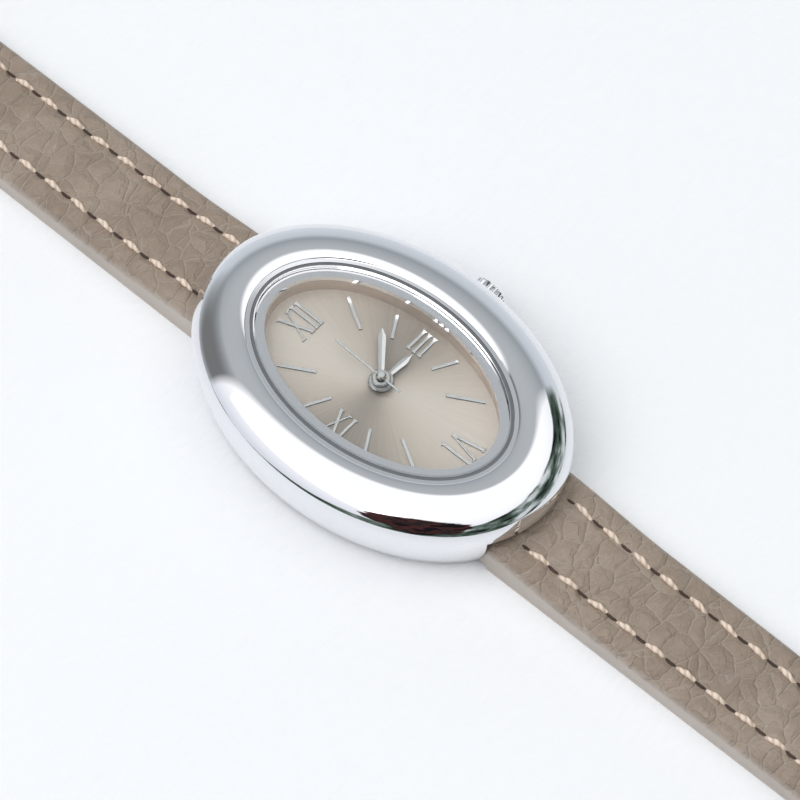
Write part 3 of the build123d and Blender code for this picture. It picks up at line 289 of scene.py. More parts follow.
def dial_finish():
    """Champagne lacquer over fine lines brushed outwards from the hands' axis, with two opposite
    fans of painted highlight and painted shade between them in its colour.
    """
    finish = Finish("sunray_dial", Metallic=0.2, Anisotropic=0.7)
    tangent = finish.add("ShaderNodeTangent", direction_type="RADIAL", axis="Z")
    finish.links.new(tangent.outputs["Tangent"], finish.shader.inputs["Tangent"])
    across = finish.axes(finish.place)
    angle = finish.calculated("ARCTAN2", across["Y"], across["X"])
    rays = finish.add("ShaderNodeTexNoise", noise_dimensions="1D")
    rays.inputs["Scale"].default_value = 26
    rays.inputs["Detail"].default_value = 7
    finish.links.new(angle, rays.inputs["W"])
    # Two opposite lobes of painted highlight with painted shade between them, under the brushed
    # lines' own tone
    twice_round = finish.times(finish.minus(angle, PAINTED_HIGHLIGHT_TURN), 2)
    painted_highlight_lobes = finish.calculated("COSINE", twice_round)
    fine_lines = finish.times(finish.plus(rays.outputs["Fac"], -0.5), RAY_CONTRAST)
    sheen = finish.plus(finish.spread(painted_highlight_lobes, -1, 1, 0.5 - PAINTED_HIGHLIGHT_SWING / 2,
                                      0.5 + PAINTED_HIGHLIGHT_SWING / 2), fine_lines)
    # The darkest colour is painted shade and the palest is painted highlight
    shaded = (0.46, 0.415, 0.355)
    plain = (0.80, 0.72, 0.62)
    bright = (1.0, 0.925, 0.82)
    finish.colour(sheen, (0.05, shaded), (0.5, plain), (0.95, bright))
    finish.rough(rays.outputs["Fac"], 0.34, 0.46)
    return finish.material


# Leather: its pebbles and folds are cells, this many to a metre, whose edges wander; a small shift
# places the painted shade beside each crease, and one colour paints its highlight
PEBBLES = 520
FOLDS = 1500
WANDER_SCALE = 520
WANDER_REACH = 0.9 * MM
SHADE_SHIFT = (0.06 * MM, -0.07 * MM, 0.0)
CREASE_PAINTED_HIGHLIGHT = (0.47, 0.40, 0.34)


def leather_base(name):
    """The start of every leather: its finish, its worn patches and its pores."""
    finish = Finish(name, Specular_IOR_Level=0.4)
    return finish, finish.noise(170, 5), finish.noise(2600, 3)


def smooth_leather(name, dark, light):
    """Lining or painted leather with nothing but its pores."""
    finish, worn, pores = leather_base(name)
    finish.colour(worn, (0.3, dark), (0.7, light))
    finish.rough(worn, 0.5, 0.62)
    finish.bump(pores, 2.5e-5, 0.45)
    return finish.material


def grained_leather(name, dark, light, edge):
    """Pebbled leather whose creases carry a painted highlight on one side and painted shade on the
    other, and whose upright sides are paler with a painted highlight.
    """
    finish, worn, pores = leather_base(name)
    shift = finish.add("ShaderNodeTexNoise")
    shift.inputs["Scale"].default_value = WANDER_SCALE
    finish.links.new(finish.place, shift.inputs["Vector"])
    wander = finish.add("ShaderNodeVectorMath", operation="MULTIPLY_ADD")
    finish.links.new(shift.outputs["Color"], wander.inputs[0])
    wander.inputs[1].default_value = (WANDER_REACH, WANDER_REACH, WANDER_REACH)
    finish.links.new(finish.scaled((0.85, 1.1, 1.0), (0, 0, 0.5)), wander.inputs[2])
    grain = wander.outputs[0]
    beside = finish.add("ShaderNodeVectorMath", operation="ADD")
    finish.links.new(grain, beside.inputs[0])
    beside.inputs[1].default_value = SHADE_SHIFT

    pebble_edges = finish.cells(PEBBLES, grain)
    fold_edges = finish.cells(FOLDS, grain)
    folded = finish.spread(worn, 0.5, 0.58, 0.0, 1.0)
    # Painted highlight along the creases, and painted shade along the same edges shifted a little
    crease_painted_highlight = finish.plus(finish.spread(pebble_edges, 0.0, 0.04, 0.5, 0.0),
                             finish.times(finish.spread(fold_edges, 0.0, 0.03, 0.5, 0.0), folded))
    crease_painted_shade = finish.spread(finish.cells(PEBBLES, beside.outputs[0]), 0.0, 0.05, 0.5, 0.0)
    face = finish.tint(worn, (0.36, dark), (0.64, light))
    face = finish.mixed(crease_painted_shade, face, tuple(tone * 0.6 for tone in dark))
    face = finish.mixed(crease_painted_highlight, face, CREASE_PAINTED_HIGHLIGHT)
    # Upright faces take the edge colour, a painted highlight: the sides are the same leather
    # turned over, paler only for the light they catch
    turned = finish.spread(finish.facing_up(), 0.1, 0.75, 1, 0)
    finish.links.new(finish.mixed(turned, face, edge), finish.shader.inputs["Base Color"])

    finish.rough(worn, 0.42, 0.56)
    pebbles = finish.bump(finish.spread(pebble_edges, 0.0, 0.3, 0.0, 1.0), 2.6e-4, 0.8)
    folds = finish.bump(finish.spread(fold_edges, 0.0, 0.12, 0.0, 1.0), 5.0e-5, 0.55, pebbles)
    finish.bump(pores, 1.0e-5, 0.25, folds)
    return finish.material


def thread_finish():
    """Cream thread of two plies, twisted, darker in the grooves between the plies as painted
    shade.
    """
    finish = Finish("twisted_thread", Specular_IOR_Level=0.25)
    plies = finish.bands(620, finish.scaled((1.0, 1.0, 0.5), (0, 0, 0.9)))
    fuzz = finish.noise(5200, 3)
    # Painted shade where the plies dip, on the same bands as the relief
    finish.colour(finish.plus(plies, finish.times(fuzz, 0.35)),
                  (0.15, (0.66, 0.51, 0.40)), (0.75, (0.90, 0.76, 0.64)))
    finish.rough(fuzz, 0.7, 0.9)
    finish.bump(plies, 7e-5, 0.8)
    return finish.material


def satin_finish():
    """White cloth with fine ribs and a little sheen."""
    finish = Finish("ribbed_satin", Sheen_Weight=0.15)
    slant = (0, 0, 0.25)
    ribs = finish.bands(1050, finish.scaled((1, 1, 1), slant), "Y", distortion=1.6)
    weave = finish.noise(2600, 3, finish.scaled((0.2, 1.0, 1.0), slant))
    mottle = finish.noise(26, 4)
    finish.colour(finish.plus(finish.times(weave, 0.6), finish.times(mottle, 0.4)),
                  (0.3, (0.935, 0.955, 0.98)), (0.7, (0.965, 0.98, 0.995)))
    finish.rough(weave, 0.45, 0.7)
    finish.bump(weave, 5e-5, 0.45, finish.bump(ribs, 3e-5, 0.25))
    return finish.material


copper = coil_finish()
glass = glass_finish()
dial_lacquer = dial_finish()
leather = grained_leather("taupe_leather", (0.285, 0.222, 0.170), (0.350, 0.280, 0.221),
                          (0.53, 0.475, 0.43))
# The paler colour of the straps' side walls is a painted highlight
edge_leather_painted_highlight = smooth_leather("turned_leather_edge_painted_highlight", (0.48, 0.43, 0.385), (0.56, 0.505, 0.46))
lining_leather = smooth_leather("smooth_lining", (0.38, 0.30, 0.23), (0.48, 0.39, 0.31))
# Painted shade for the needle holes, put on dark discs at the stitches' ends
needle_hole_painted_shade = smooth_leather("needle_holes_painted_shade", (0.035, 0.020, 0.014), (0.07, 0.042, 0.032))
thread = thread_finish()
satin = satin_finish()

# Pieces that keep the model's shapes, by finish
CARRIED = {
    marker_metal_painted_facets: ("numeral_12", "numeral_3", "numeral_6", "numeral_9", "baton_markers",
                   "hour_hand", "minute_hand", "second_hand"),
    dial_lacquer: ("dial",),
    chrome: ("buckle_frame", "buckle_tongue"),
    steel: ("case_back", "spring_bar_12", "spring_bar_6", "buckle_bar", "crown_tube", "stem",
            "setting_pinion", "setting_lever", "battery", "battery_clip", "quartz_resonator"),
    brass: ("main_plate", "fifth_wheel", "seconds_wheel", "third_wheel", "centre_wheel",
            "minute_wheel", "hour_wheel", "setting_wheel"),
    nickel: ("train_bridge", "stator"),
    magnet: ("rotor", "coil_core"),
    rubber: ("case_back_gasket", "crown_seal"),
    white_plastic: ("movement_holder",),
    board: ("circuit_board",),
    copper: ("coil",),
}
for material, names in CARRIED.items():
    for name in names:
        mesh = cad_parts[name].data
        mesh.materials.clear()
        mesh.materials.append(material)


# How far an edge has to turn to be shaded as a sharp one, in degrees
CRISP_METAL = 28
CRISP_GLASS = 20
CRISP_CROWN = 40
CRISP_LEATHER = 50


# Mesh helpers
def placed(name, data):
    """A new object in the scene that shows a mesh, a lamp or a camera."""
    piece = bpy.data.objects.new(name, data)
    bpy.context.scene.collection.objects.link(piece)
    return piece


def new_piece(name, points, faces, materials, body, stands_for=()):
    """A mesh object that rides on a body and stands for model nodes."""
    mesh = bpy.data.meshes.new(name)
    mesh.from_pydata(points, [], faces)
    for material in materials:
        mesh.materials.append(material)
    for polygon in mesh.polygons:
        polygon.use_smooth = True
    mesh.update()
    piece = placed(name, mesh)
    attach(piece, body)
    if stands_for:
        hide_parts(*stands_for)
    return piece


def turns(count):
    """Angles that share a full turn evenly."""
    return [2 * math.pi * index / count for index in range(count)]


def grid_faces(rows, columns, closed_rows=False, first=0):
    """Quads over a grid of points stored row by row, each row closed into a loop."""
    faces = []
    for row in range(rows if closed_rows else rows - 1):
        for column in range(columns):
            here = first + row * columns
            there = first + ((row + 1) % rows) * columns
            after = (column + 1) % columns
            faces.append((here + column, here + after, there + after, there + column))
    return faces


def capped_faces(rows, columns, first=0):
    """The same quads, with one face across the first row and one across the last."""
    last = first + (rows - 1) * columns
    faces = grid_faces(rows, columns, first=first)
    faces.append(tuple(range(first, first + columns)))
    faces.append(tuple(range(last, last + columns)))
    return faces


def oval_rings(rings, count):
    """Points on ellipses; each ring is half width, half length and level."""
    return [(half_width * math.cos(turn), half_length * math.sin(turn), level)
            for half_width, half_length, level in rings for turn in turns(count)]


def facing_out(piece):
    """Turns all faces of a closed mesh outwards."""
    mesh = bmesh.new()
    mesh.from_mesh(piece.data)
    bmesh.ops.recalc_face_normals(mesh, faces=mesh.faces)
    mesh.to_mesh(piece.data)
    mesh.free()


def crisp(piece, angle):
    """Shades the edges that turn more than an angle in degrees as sharp ones."""
    piece.data.set_sharp_from_angle(angle=math.radians(angle))


def closed_oval(name, rings, material, stands_for, count=320):
    """A ring-shaped solid of the watch head: its section's corners are swept round the oval."""
    faces = grid_faces(len(rings), count, closed_rows=True)
    piece = new_piece(name, oval_rings(rings, count), faces, [material], "watch_head",
                      (stands_for,))
    facing_out(piece)
    crisp(piece, CRISP_METAL)
    return piece


# Case: the outer skin is a quarter ellipse below the widest level and another over the dome
case_low, case_high = node_box("case")
HALF_WIDTH = case_high.x
HALF_LENGTH = case_high.y
BOTTOM = case_low.z
DOME_TOP = case_high.z
WIDEST = 4.8 * MM
DOME_RUN = 3.2 * MM
FLANK_DEPTH = 6.3 * MM
RIM_HALF = (7.8 * MM, 12.1 * MM)
RIM_LEVEL = 7.0 * MM
RIM_DROP = 0.1 * MM
SEAT_DROP = 0.12 * MM
SEAT_HALF = (7.47 * MM, 11.77 * MM)
OPENING_HALF = (6.3 * MM, 10.6 * MM)
BORE_HALF = (7.3 * MM, 11.6 * MM)
LEDGE_TOP = 6.35 * MM
LEDGE_BOTTOM = 5.85 * MM
BACK_HALF = (7.75 * MM, 12.05 * MM)
BACK_TOP = 0.7 * MM
CASE_STEPS = 26
CASE_POINTS = 420


def case_rings():
    """The case's section, from the bottom edge over the dome and down through the bore."""
    rings = []
    crest = (HALF_WIDTH - DOME_RUN, HALF_LENGTH - DOME_RUN)
    bottom_turn = math.asin((WIDEST - BOTTOM) / FLANK_DEPTH)
    for step in range(CASE_STEPS):
        turn = bottom_turn * (1 - step / CASE_STEPS)
        run = DOME_RUN * math.cos(turn)
        rings.append((crest[0] + run, crest[1] + run, WIDEST - FLANK_DEPTH * math.sin(turn)))
    for step in range(CASE_STEPS + 1):
        turn = math.pi / 2 * step / CASE_STEPS
        run = DOME_RUN * math.cos(turn)
        rings.append((crest[0] + run, crest[1] + run,
                      WIDEST + (DOME_TOP - WIDEST) * math.sin(turn)))
    slope_steps = CASE_STEPS // 2
    for step in range(1, slope_steps + 1):
        turn = math.pi / 2 * (1 - step / slope_steps)
        drop = 1 - math.cos(turn)
        rings.append((RIM_HALF[0] + (crest[0] - RIM_HALF[0]) * drop,
                      RIM_HALF[1] + (crest[1] - RIM_HALF[1]) * drop,
                      RIM_LEVEL + (DOME_TOP - RIM_LEVEL) * math.sin(turn)))
    rings += [
        (*RIM_HALF, RIM_LEVEL - RIM_DROP),
        (*SEAT_HALF, RIM_LEVEL - SEAT_DROP),
        (*SEAT_HALF, LEDGE_TOP),
        (*OPENING_HALF, LEDGE_TOP),
        (*OPENING_HALF, LEDGE_BOTTOM),
        (*BORE_HALF, LEDGE_BOTTOM),
        (*BORE_HALF, BACK_TOP),
        (*BACK_HALF, BACK_TOP),
        (*BACK_HALF, BOTTOM),
    ]
    return rings


case = closed_oval("case_shell", case_rings(), chrome, "case", CASE_POINTS)


# Cutters: closed meshes that are taken out of a piece and then removed
def prism(name, outline, start, end, axis="Z"):
    """A straight-sided cutter from an outline, along Z or X."""
    count = len(outline)
    points = []
    for level in (start, end):
        for first, second in outline:
            points.append((level, first, second) if axis == "X" else (first, second, level))
    faces = [tuple(range(count)), tuple(range(2 * count - 1, count - 1, -1))]
    for index in range(count):
        after = (index + 1) % count
        faces.append((index, after, count + after, count + index))
    mesh = bpy.data.meshes.new(name)
    mesh.from_pydata(points, [], faces)
    cutter = placed(name, mesh)
    facing_out(cutter)
    return cutter


def round_outline(centre, radius, count=40):
    """Points round a circle."""
    return [(centre[0] + radius * math.cos(turn), centre[1] + radius * math.sin(turn))
            for turn in turns(count)]


def cut(piece, *cutters):
    """Takes the cutters out of a piece for good."""
    for cutter in cutters:
        modifier = piece.modifiers.new("cut", "BOOLEAN")
        modifier.operation = "DIFFERENCE"
        modifier.solver = "EXACT"
        modifier.object = cutter
    depsgraph = bpy.context.evaluated_depsgraph_get()
    mesh = bpy.data.meshes.new_from_object(piece.evaluated_get(depsgraph))
    piece.modifiers.clear()
    piece.data = mesh
    for cutter in cutters:
        spent = cutter.data
        bpy.data.objects.remove(cutter)
        bpy.data.meshes.remove(spent)


# The case is open at both ends for the straps and at 3 o'clock for the crown's tube
SLOT_HALF = 4.95 * MM
SLOT_WALL = HALF_LENGTH - 4.25 * MM
SLOT_TOP = 4.35 * MM
TUBE_RADIUS = node_box("crown_tube")[1].y
TUBE_START = 7 * MM
STEM_LEVEL = 2.5 * MM
case_cutters = []
for side in (1, -1):
    near = side * SLOT_WALL
    far = side * (HALF_LENGTH + MM)
    slot_outline = [(-SLOT_HALF, near), (SLOT_HALF, near), (SLOT_HALF, far), (-SLOT_HALF, far)]
    case_cutters.append(prism("slot_cutter", slot_outline, -MM, SLOT_TOP))
case_cutters.append(prism("tube_cutter", round_outline((0, STEM_LEVEL), TUBE_RADIUS), TUBE_START,
                          HALF_WIDTH + MM, "X"))
cut(case, *case_cutters)
crisp(case, CRISP_METAL)

# Crystal, its gasket and the ring between the ledge and the dial
CRYSTAL_BEVEL = 0.12 * MM
CRYSTAL_REST = 0.03 * MM
CRYSTAL_POINTS = 200
SEAL_WALL = 0.25 * MM
RING_WALL = node_box("dial_ring")[1].x - OPENING_HALF[0]


def crystal_piece():
    """A flat oval plate with a bevel round its upper edge."""
    low, high = node_box("crystal")
    rings = [(high.x, high.y, low.z + CRYSTAL_REST), (high.x, high.y, high.z - CRYSTAL_BEVEL),
             (high.x - CRYSTAL_BEVEL, high.y - CRYSTAL_BEVEL, high.z)]
    plate = new_piece("crystal_plate", oval_rings(rings, CRYSTAL_POINTS),
                      capped_faces(len(rings), CRYSTAL_POINTS), [glass], "watch_head",
                      ("crystal",))
    facing_out(plate)
    crisp(plate, CRISP_GLASS)


def oval_tube(name, node, wall, material):
    """A ring as tall as its node, with the node's outer size and a wall."""
    low, high = node_box(node)
    outer = (high.x, high.y)
    inner = (high.x - wall, high.y - wall)
    rings = [(*outer, low.z), (*outer, high.z), (*inner, high.z), (*inner, low.z)]
    closed_oval(name, rings, material, node)


crystal_piece()
oval_tube("crystal_seal", "crystal_gasket", SEAL_WALL, seal_grey)
oval_tube("dial_surround", "dial_ring", RING_WALL, satin_ring_painted_reflection)

# Crown: fluted round its axis, with a shallow dome at its end and the recess over its tube
CROWN_FLUTES = 18
POINTS_PER_FLUTE = 10
FLUTE_DEPTH = 0.14 * MM
STEM_BORE = 0.42 * MM
RECESS_RADIUS = 1.0 * MM
RECESS_DEPTH = 0.75 * MM


def crown_sections(inner, outer, radius):
    """The crown's section: places along its axis, radii and shares of the flutes' depth."""
    return [
        (inner + RECESS_DEPTH, STEM_BORE, 0),
        (inner + RECESS_DEPTH, RECESS_RADIUS, 0),
        (inner, RECESS_RADIUS, 0),
        (inner, radius - 0.1 * MM, 0.6),
        (inner + 0.06 * MM, radius, 1),
        (outer - 0.2 * MM, radius, 1),
        (outer - 0.1 * MM, radius - 0.09 * MM, 0.7),
        (outer - 0.04 * MM, radius - 0.26 * MM, 0.1),
        (outer, radius - 0.6 * MM, 0),
        (outer, 0.02 * MM, 0),
    ]


def crown_piece():
    """The crown's cap, closed across its stem bore and its dome."""
    low, high = node_box("crown")
    around = CROWN_FLUTES * POINTS_PER_FLUTE
    sections = crown_sections(low.x, high.x, high.y)
    points = []
    for place, reach, share in sections:
        for turn in turns(around):
            groove = (0.5 - 0.5 * math.cos(CROWN_FLUTES * turn)) ** 3
            here = reach - FLUTE_DEPTH * share * groove
            points.append((place, here * math.cos(turn), STEM_LEVEL + here * math.sin(turn)))
    crown = new_piece("crown_cap", points, capped_faces(len(sections), around), [chrome],
                      "winding_stem", ("crown",))
    facing_out(crown)
    crisp(crown, CRISP_CROWN)


crown_piece()

# Straps: where they lie and how thick they are, as in the model
BAR_Y = 13.7 * MM
BAR_LEVEL = 1.9 * MM
LOOP_RADIUS = 1.2 * MM
LINING = 0.55 * MM
CASE_WIDTH_OF_STRAP = 9.6 * MM
CASE_THICKNESS = 3.3 * MM
BODY_THICKNESS = 2.55 * MM
END_THICKNESS = 1.9 * MM
PAD_RUN = 11 * MM
BUCKLE_LENGTH = 68 * MM
BUCKLE_END_WIDTH = 8.5 * MM
BUCKLE_LIFT = 1.15 * MM
TAPER = (28 * MM, 45 * MM)
HOLE_LENGTH = 100 * MM
HOLE_END_WIDTH = 8 * MM
TIP_LENGTH = 4.5 * MM
TIP_POWER = 0.9
TIP_LEAST = 0.0004
WRAP_RADIUS = END_THICKNESS / 2
BUCKLE_BAR_Y = BAR_Y + BUCKLE_LENGTH
BUCKLE_BAR_LEVEL = BUCKLE_LIFT + WRAP_RADIUS

# The face: a flat ridge, a shoulder that slopes away from it and a round edge
SHOULDER = 1.9 * MM
SHOULDER_DROP = 0.08 * MM
SLOPE_DROP = 0.18 * MM
EDGE_ROUND = 0.85 * MM
LEAST_RIDGE = 0.1 * MM

# The sewn channel, whose depth grows towards the needle holes, and the stitches in it
CHANNEL_DEPTH = 0.24 * MM
CHANNEL_HALF = 0.36 * MM
CHANNEL_SHARE = 0.45
NEEDLE_SHARE = 0.75
STITCH_PITCH = 2.85 * MM
STITCH_RUN = 2.0 * MM
STITCH_START = 3.5 * MM
STITCH_STOP = 6 * MM
STITCH_STOP_AT_TIP = TIP_LENGTH + 2 * MM
LEAST_ROW = 0.3 * MM


def ease(place, start, end):
    """A smooth step from 0 at start to 1 at end."""
    part = min(max((place - start) / (end - start), 0), 1)
    return part * part * (3 - 2 * part)


def strap_height(place, length):
    """Thickness of a strap: padded at the case and skived towards its end."""
    padded = (CASE_THICKNESS - BODY_THICKNESS) * (1 - ease(place, LOOP_RADIUS, PAD_RUN))
    skived = (BODY_THICKNESS - END_THICKNESS) * ease(place, PAD_RUN, length)
    return BODY_THICKNESS + padded - skived


class Strap:
    """One strap: where it lies, how wide and thick it is, and where its stitches run."""

    def __init__(self, side, length, end_width, taper, lift, tip, margin):
        self.side = side
        self.length = length
        self.end_width = end_width
        self.taper = taper
        self.lift = lift
        self.tip = tip
        self.margin = margin

    def y(self, place):
        """The frame's Y at a distance from the strap's bar."""
        return self.side * (BAR_Y + place)

    def half_width(self, place):
        """Half the strap's width, which narrows to a rounded point at a tip."""
        share = ease(place, *self.taper) if self.taper else place / self.length
        half = (CASE_WIDTH_OF_STRAP + (self.end_width - CASE_WIDTH_OF_STRAP) * max(share, 0)) / 2
        if self.tip and place > self.length - self.tip:
            along = (place - self.length + self.tip) / self.tip
            half *= max(1 - along * along, TIP_LEAST) ** TIP_POWER
        return half

    def under(self, place):
        """Level of the strap's underside."""
        return self.lift * ease(place, *self.taper) if self.taper else 0.0

    def upper_span(self, place):
        """Bottom and top of the upper leather, round its bar and beyond it."""
        flat = (self.under(place) + LINING, self.under(place) + strap_height(place, self.length))
        if place <= 0:
            rise = math.sqrt(max(LOOP_RADIUS ** 2 - place ** 2, 0))
            return BAR_LEVEL - rise, BAR_LEVEL + rise
        if place < LOOP_RADIUS:
            share = place / LOOP_RADIUS
            return (BAR_LEVEL - LOOP_RADIUS + (flat[0] - BAR_LEVEL + LOOP_RADIUS) * share,
                    BAR_LEVEL + LOOP_RADIUS + (flat[1] - BAR_LEVEL - LOOP_RADIUS) * share)
        if self.lift and place > self.length - WRAP_RADIUS:
            far = max(place - self.length, 0)
            rise = math.sqrt(max(WRAP_RADIUS ** 2 - far ** 2, 0))
            start = self.upper_span(self.length - WRAP_RADIUS)[0]
            share = ease(place, self.length - WRAP_RADIUS, self.length)
            return (start * (1 - share) + (BUCKLE_BAR_LEVEL - rise) * share,
                    BUCKLE_BAR_LEVEL + rise)
        return flat

    def row(self, place):
        """Distance of each stitch row from the strap's middle."""
        return max(self.half_width(place) - self.margin, LEAST_ROW)

    def stitch_starts(self):
        """Where the stitches of a row begin."""
        starts = []
        place = STITCH_START
        while place < self.length - (STITCH_STOP_AT_TIP if self.tip else STITCH_STOP):
            starts.append(place)
            place += STITCH_PITCH
        return starts

    def channel(self, across, place):
        """Depth of the sewn channel and of the needle holes in it."""
        if place < MM or place > self.stitch_starts()[-1] + STITCH_RUN:
            return 0.0
        off = abs(across) - self.row(place)
        phase = (place - STITCH_START) / STITCH_PITCH
        gap = 0.5 + 0.5 * math.cos(2 * math.pi * (phase + (STITCH_PITCH - STITCH_RUN)
                                                  / STITCH_PITCH / 2))
        depth = CHANNEL_DEPTH * (CHANNEL_SHARE + NEEDLE_SHARE * gap ** 4)
        return depth * math.exp(-(off / CHANNEL_HALF) ** 2)

    def crown(self, across, place):
        """How far the leather's face lies under its ridge at a point across it."""
        half = self.half_width(place)
        scale = half / (CASE_WIDTH_OF_STRAP / 2)
        inner = max(half - SHOULDER * scale, LEAST_RIDGE)
        off = abs(across)
        drop = SHOULDER_DROP * min(off / inner, 1) ** 2
        if off > inner:
            drop += SLOPE_DROP * ((off - inner) / (half - inner))
        rounding = EDGE_ROUND * scale
        edge = max(off - half + rounding, 0) / rounding
        drop += rounding * (1 - math.sqrt(max(1 - edge * edge, 0)))
        return drop

    def face(self, across, place):
        """Level of the leather's face as if it weren't sewn."""
        return self.upper_span(place)[1] - self.crown(across, place)

    def sewn_face(self, across, place):
        """Level of the leather's face, down in the channel too."""
        return self.face(across, place) - self.channel(across, place)


strap_12 = Strap(side=1, length=BUCKLE_LENGTH, end_width=BUCKLE_END_WIDTH, taper=TAPER,
                 lift=BUCKLE_LIFT, tip=0, margin=2.065 * MM)
strap_6 = Strap(side=-1, length=HOLE_LENGTH, end_width=HOLE_END_WIDTH, taper=None,
                lift=0.0, tip=TIP_LENGTH, margin=2.15 * MM)

# Leather meshes: points across a strap, steps along it, and ends that stop short of a full radius
ACROSS_POINTS = 72
SHORT_OF_FULL = 0.999
TURNING_STEP = 0.12 * MM
NEAR_STEP = 0.2 * MM
FAR_STEP = 0.35 * MM
NEAR_RUN = 40 * MM
END_RUN = 5 * MM
LAYER_GAP = 0.01 * MM
LEAST_LAYER = 0.02 * MM
LINING_CHANNEL_SHARE = 1.6
SIDEWAYS_NORMAL = 0.97


def across_points(half):
    """Places across a strap, closer together near its edges."""
    shares = [2 * index / (ACROSS_POINTS - 1) - 1 for index in range(ACROSS_POINTS)]
    return [half * math.sin(math.pi / 2 * share * SHORT_OF_FULL) for share in shares]


def strap_stations(start, end):
    """Places along a strap, closer where it is seen from near and where it turns."""
    places = []
    place = start
    while place < end:
        places.append(place)
        if place < LOOP_RADIUS or place > end - END_RUN:
            place += TURNING_STEP
        else:
            place += NEAR_STEP if place < NEAR_RUN else FAR_STEP
    places.append(end)
    return places


def sheet_mesh(name, strap, stations, top, bottom, materials, body, node):
    """A leather layer: a face and an underside over the same outline, with side walls."""
    points = []
    for place in stations:
        spread = across_points(strap.half_width(place))
        points += [(x, strap.y(place), top(x, place)) for x in spread]
        points += [(x, strap.y(place), bottom(x, place)) for x in reversed(spread)]
    faces = capped_faces(len(stations), 2 * ACROSS_POINTS)
    piece = new_piece(name, points, faces, materials, body, (node,))
    facing_out(piece)
    for polygon in piece.data.polygons:
        if abs(polygon.normal.x) > SIDEWAYS_NORMAL:
            polygon.material_index = 1
    crisp(piece, CRISP_LEATHER)
    return piece


def upper_piece(name, strap, end, body, node):
    """The upper leather, from the loop round its bar to an end."""
    def top(x, place):
        return max(strap.sewn_face(x, place), strap.upper_span(place)[0] + LEAST_LAYER)

    def bottom(x, place):
        return strap.upper_span(place)[0] + LAYER_GAP

    stations = strap_stations(-LOOP_RADIUS * SHORT_OF_FULL, end)
    return sheet_mesh(name, strap, stations, top, bottom, [leather, edge_leather_painted_highlight], body, node)


def lining_piece(name, strap, end, body, node):
    """The lining under the upper leather, with the stitches' channel on its underside."""
    def top(x, place):
        return strap.under(place) + LINING - LAYER_GAP

    def bottom(x, place):
        return strap.under(place) + strap.channel(x, place) * LINING_CHANNEL_SHARE + LAYER_GAP

    stations = strap_stations(LOOP_RADIUS, end)
    return sheet_mesh(name, strap, stations, top, bottom, [lining_leather, edge_leather_painted_highlight], body,
                      node)


# Holes of the straps: bores for the bars, the tongue's slot and the long strap's holes
CASE_BORE = 0.75 * MM
BUCKLE_BORE = 0.55 * MM
BORE_REACH = 6 * MM
TONGUE_SLOT_HALF = 1.2 * MM
TONGUE_SLOT_REACH = 3.6 * MM
TONGUE_SLOT_STEPS = 12
HOLE_COUNT = 7
HOLE_RADIUS = 0.75 * MM
HOLE_POINTS = 28
FIRST_HOLE_MM = 17
HOLE_PITCH_MM = 6
CUT_TOP = 8 * MM


def bore(centre_y, level, radius):
    """The cutter of a bar's bore, right across a strap."""
    return prism("bar_cutter", round_outline((centre_y, level), radius), -BORE_REACH, BORE_REACH,
                 "X")


def slot_tool():
    """The cutter of the tongue's slot, round at its inner end and open at the buckle's bar."""
    half = TONGUE_SLOT_HALF
    start = BUCKLE_BAR_Y - TONGUE_SLOT_REACH + half
    end = BUCKLE_BAR_Y + 2 * MM
    outline = []
    for step in range(TONGUE_SLOT_STEPS + 1):
        turn = math.pi + math.pi * step / TONGUE_SLOT_STEPS
        outline.append((half * math.cos(turn), start + half * math.sin(turn)))
    outline += [(half, end), (-half, end)]
    return prism("slot_cutter", outline, -MM, CUT_TOP)


def hole_tools():
    """The cutters of the buckle's holes, counted from the tip."""
    tip = -BAR_Y - HOLE_LENGTH
    centres = [tip + (FIRST_HOLE_MM + HOLE_PITCH_MM * index) * MM for index in range(HOLE_COUNT)]
    outlines = [round_outline((0, centre), HOLE_RADIUS, HOLE_POINTS) for centre in centres]
    return [prism("hole_cutter", outline, -MM, CUT_TOP) for outline in outlines]


upper_12 = upper_piece("strap_12_face", strap_12, BUCKLE_LENGTH + WRAP_RADIUS * SHORT_OF_FULL,
                       "upper_strap", "strap_12_upper")
cut(upper_12, bore(BAR_Y, BAR_LEVEL, CASE_BORE),
    bore(BUCKLE_BAR_Y, BUCKLE_BAR_LEVEL, BUCKLE_BORE), slot_tool())
lining_12 = lining_piece("strap_12_back", strap_12, BUCKLE_LENGTH - WRAP_RADIUS, "upper_strap",
                         "strap_12_lining")
cut(lining_12, slot_tool())
upper_6 = upper_piece("strap_6_face", strap_6, HOLE_LENGTH, "lower_strap", "strap_6_upper")
cut(upper_6, bore(-BAR_Y, BAR_LEVEL, CASE_BORE), *hole_tools())
lining_6 = lining_piece("strap_6_back", strap_6, HOLE_LENGTH, "lower_strap", "strap_6_lining")
cut(lining_6, *hole_tools())

# Stitches: short lengths of twisted thread between needle holes, with a dark disc of painted shade
# at each end
THREAD_RADIUS = 0.22 * MM
THREAD_POINTS = 12
STITCH_STEPS = 14
PLY_RELIEF = 0.16
QUARTER_TWISTS = 9
ARCH_POWER = 0.75
END_SHARE = 0.4
LINING_SHARE = 0.75
FACE_SINK_MM = 0.34
FACE_ARCH_MM = 0.38
LINING_SINK_MM = 0.42
LINING_ARCH_MM = 0.2
LOOSENESS_MM = 0.08
SLANT_MM = (0.05, 0.3)
PIT_POINTS = 12
PIT_REACH = 0.28 * MM
PIT_HALF_WIDTH = 0.14 * MM
PIT_STRETCH = 1.35
PIT_LIFT = 0.02 * MM
PIT_MIDDLE_LIFT = 0.03 * MM


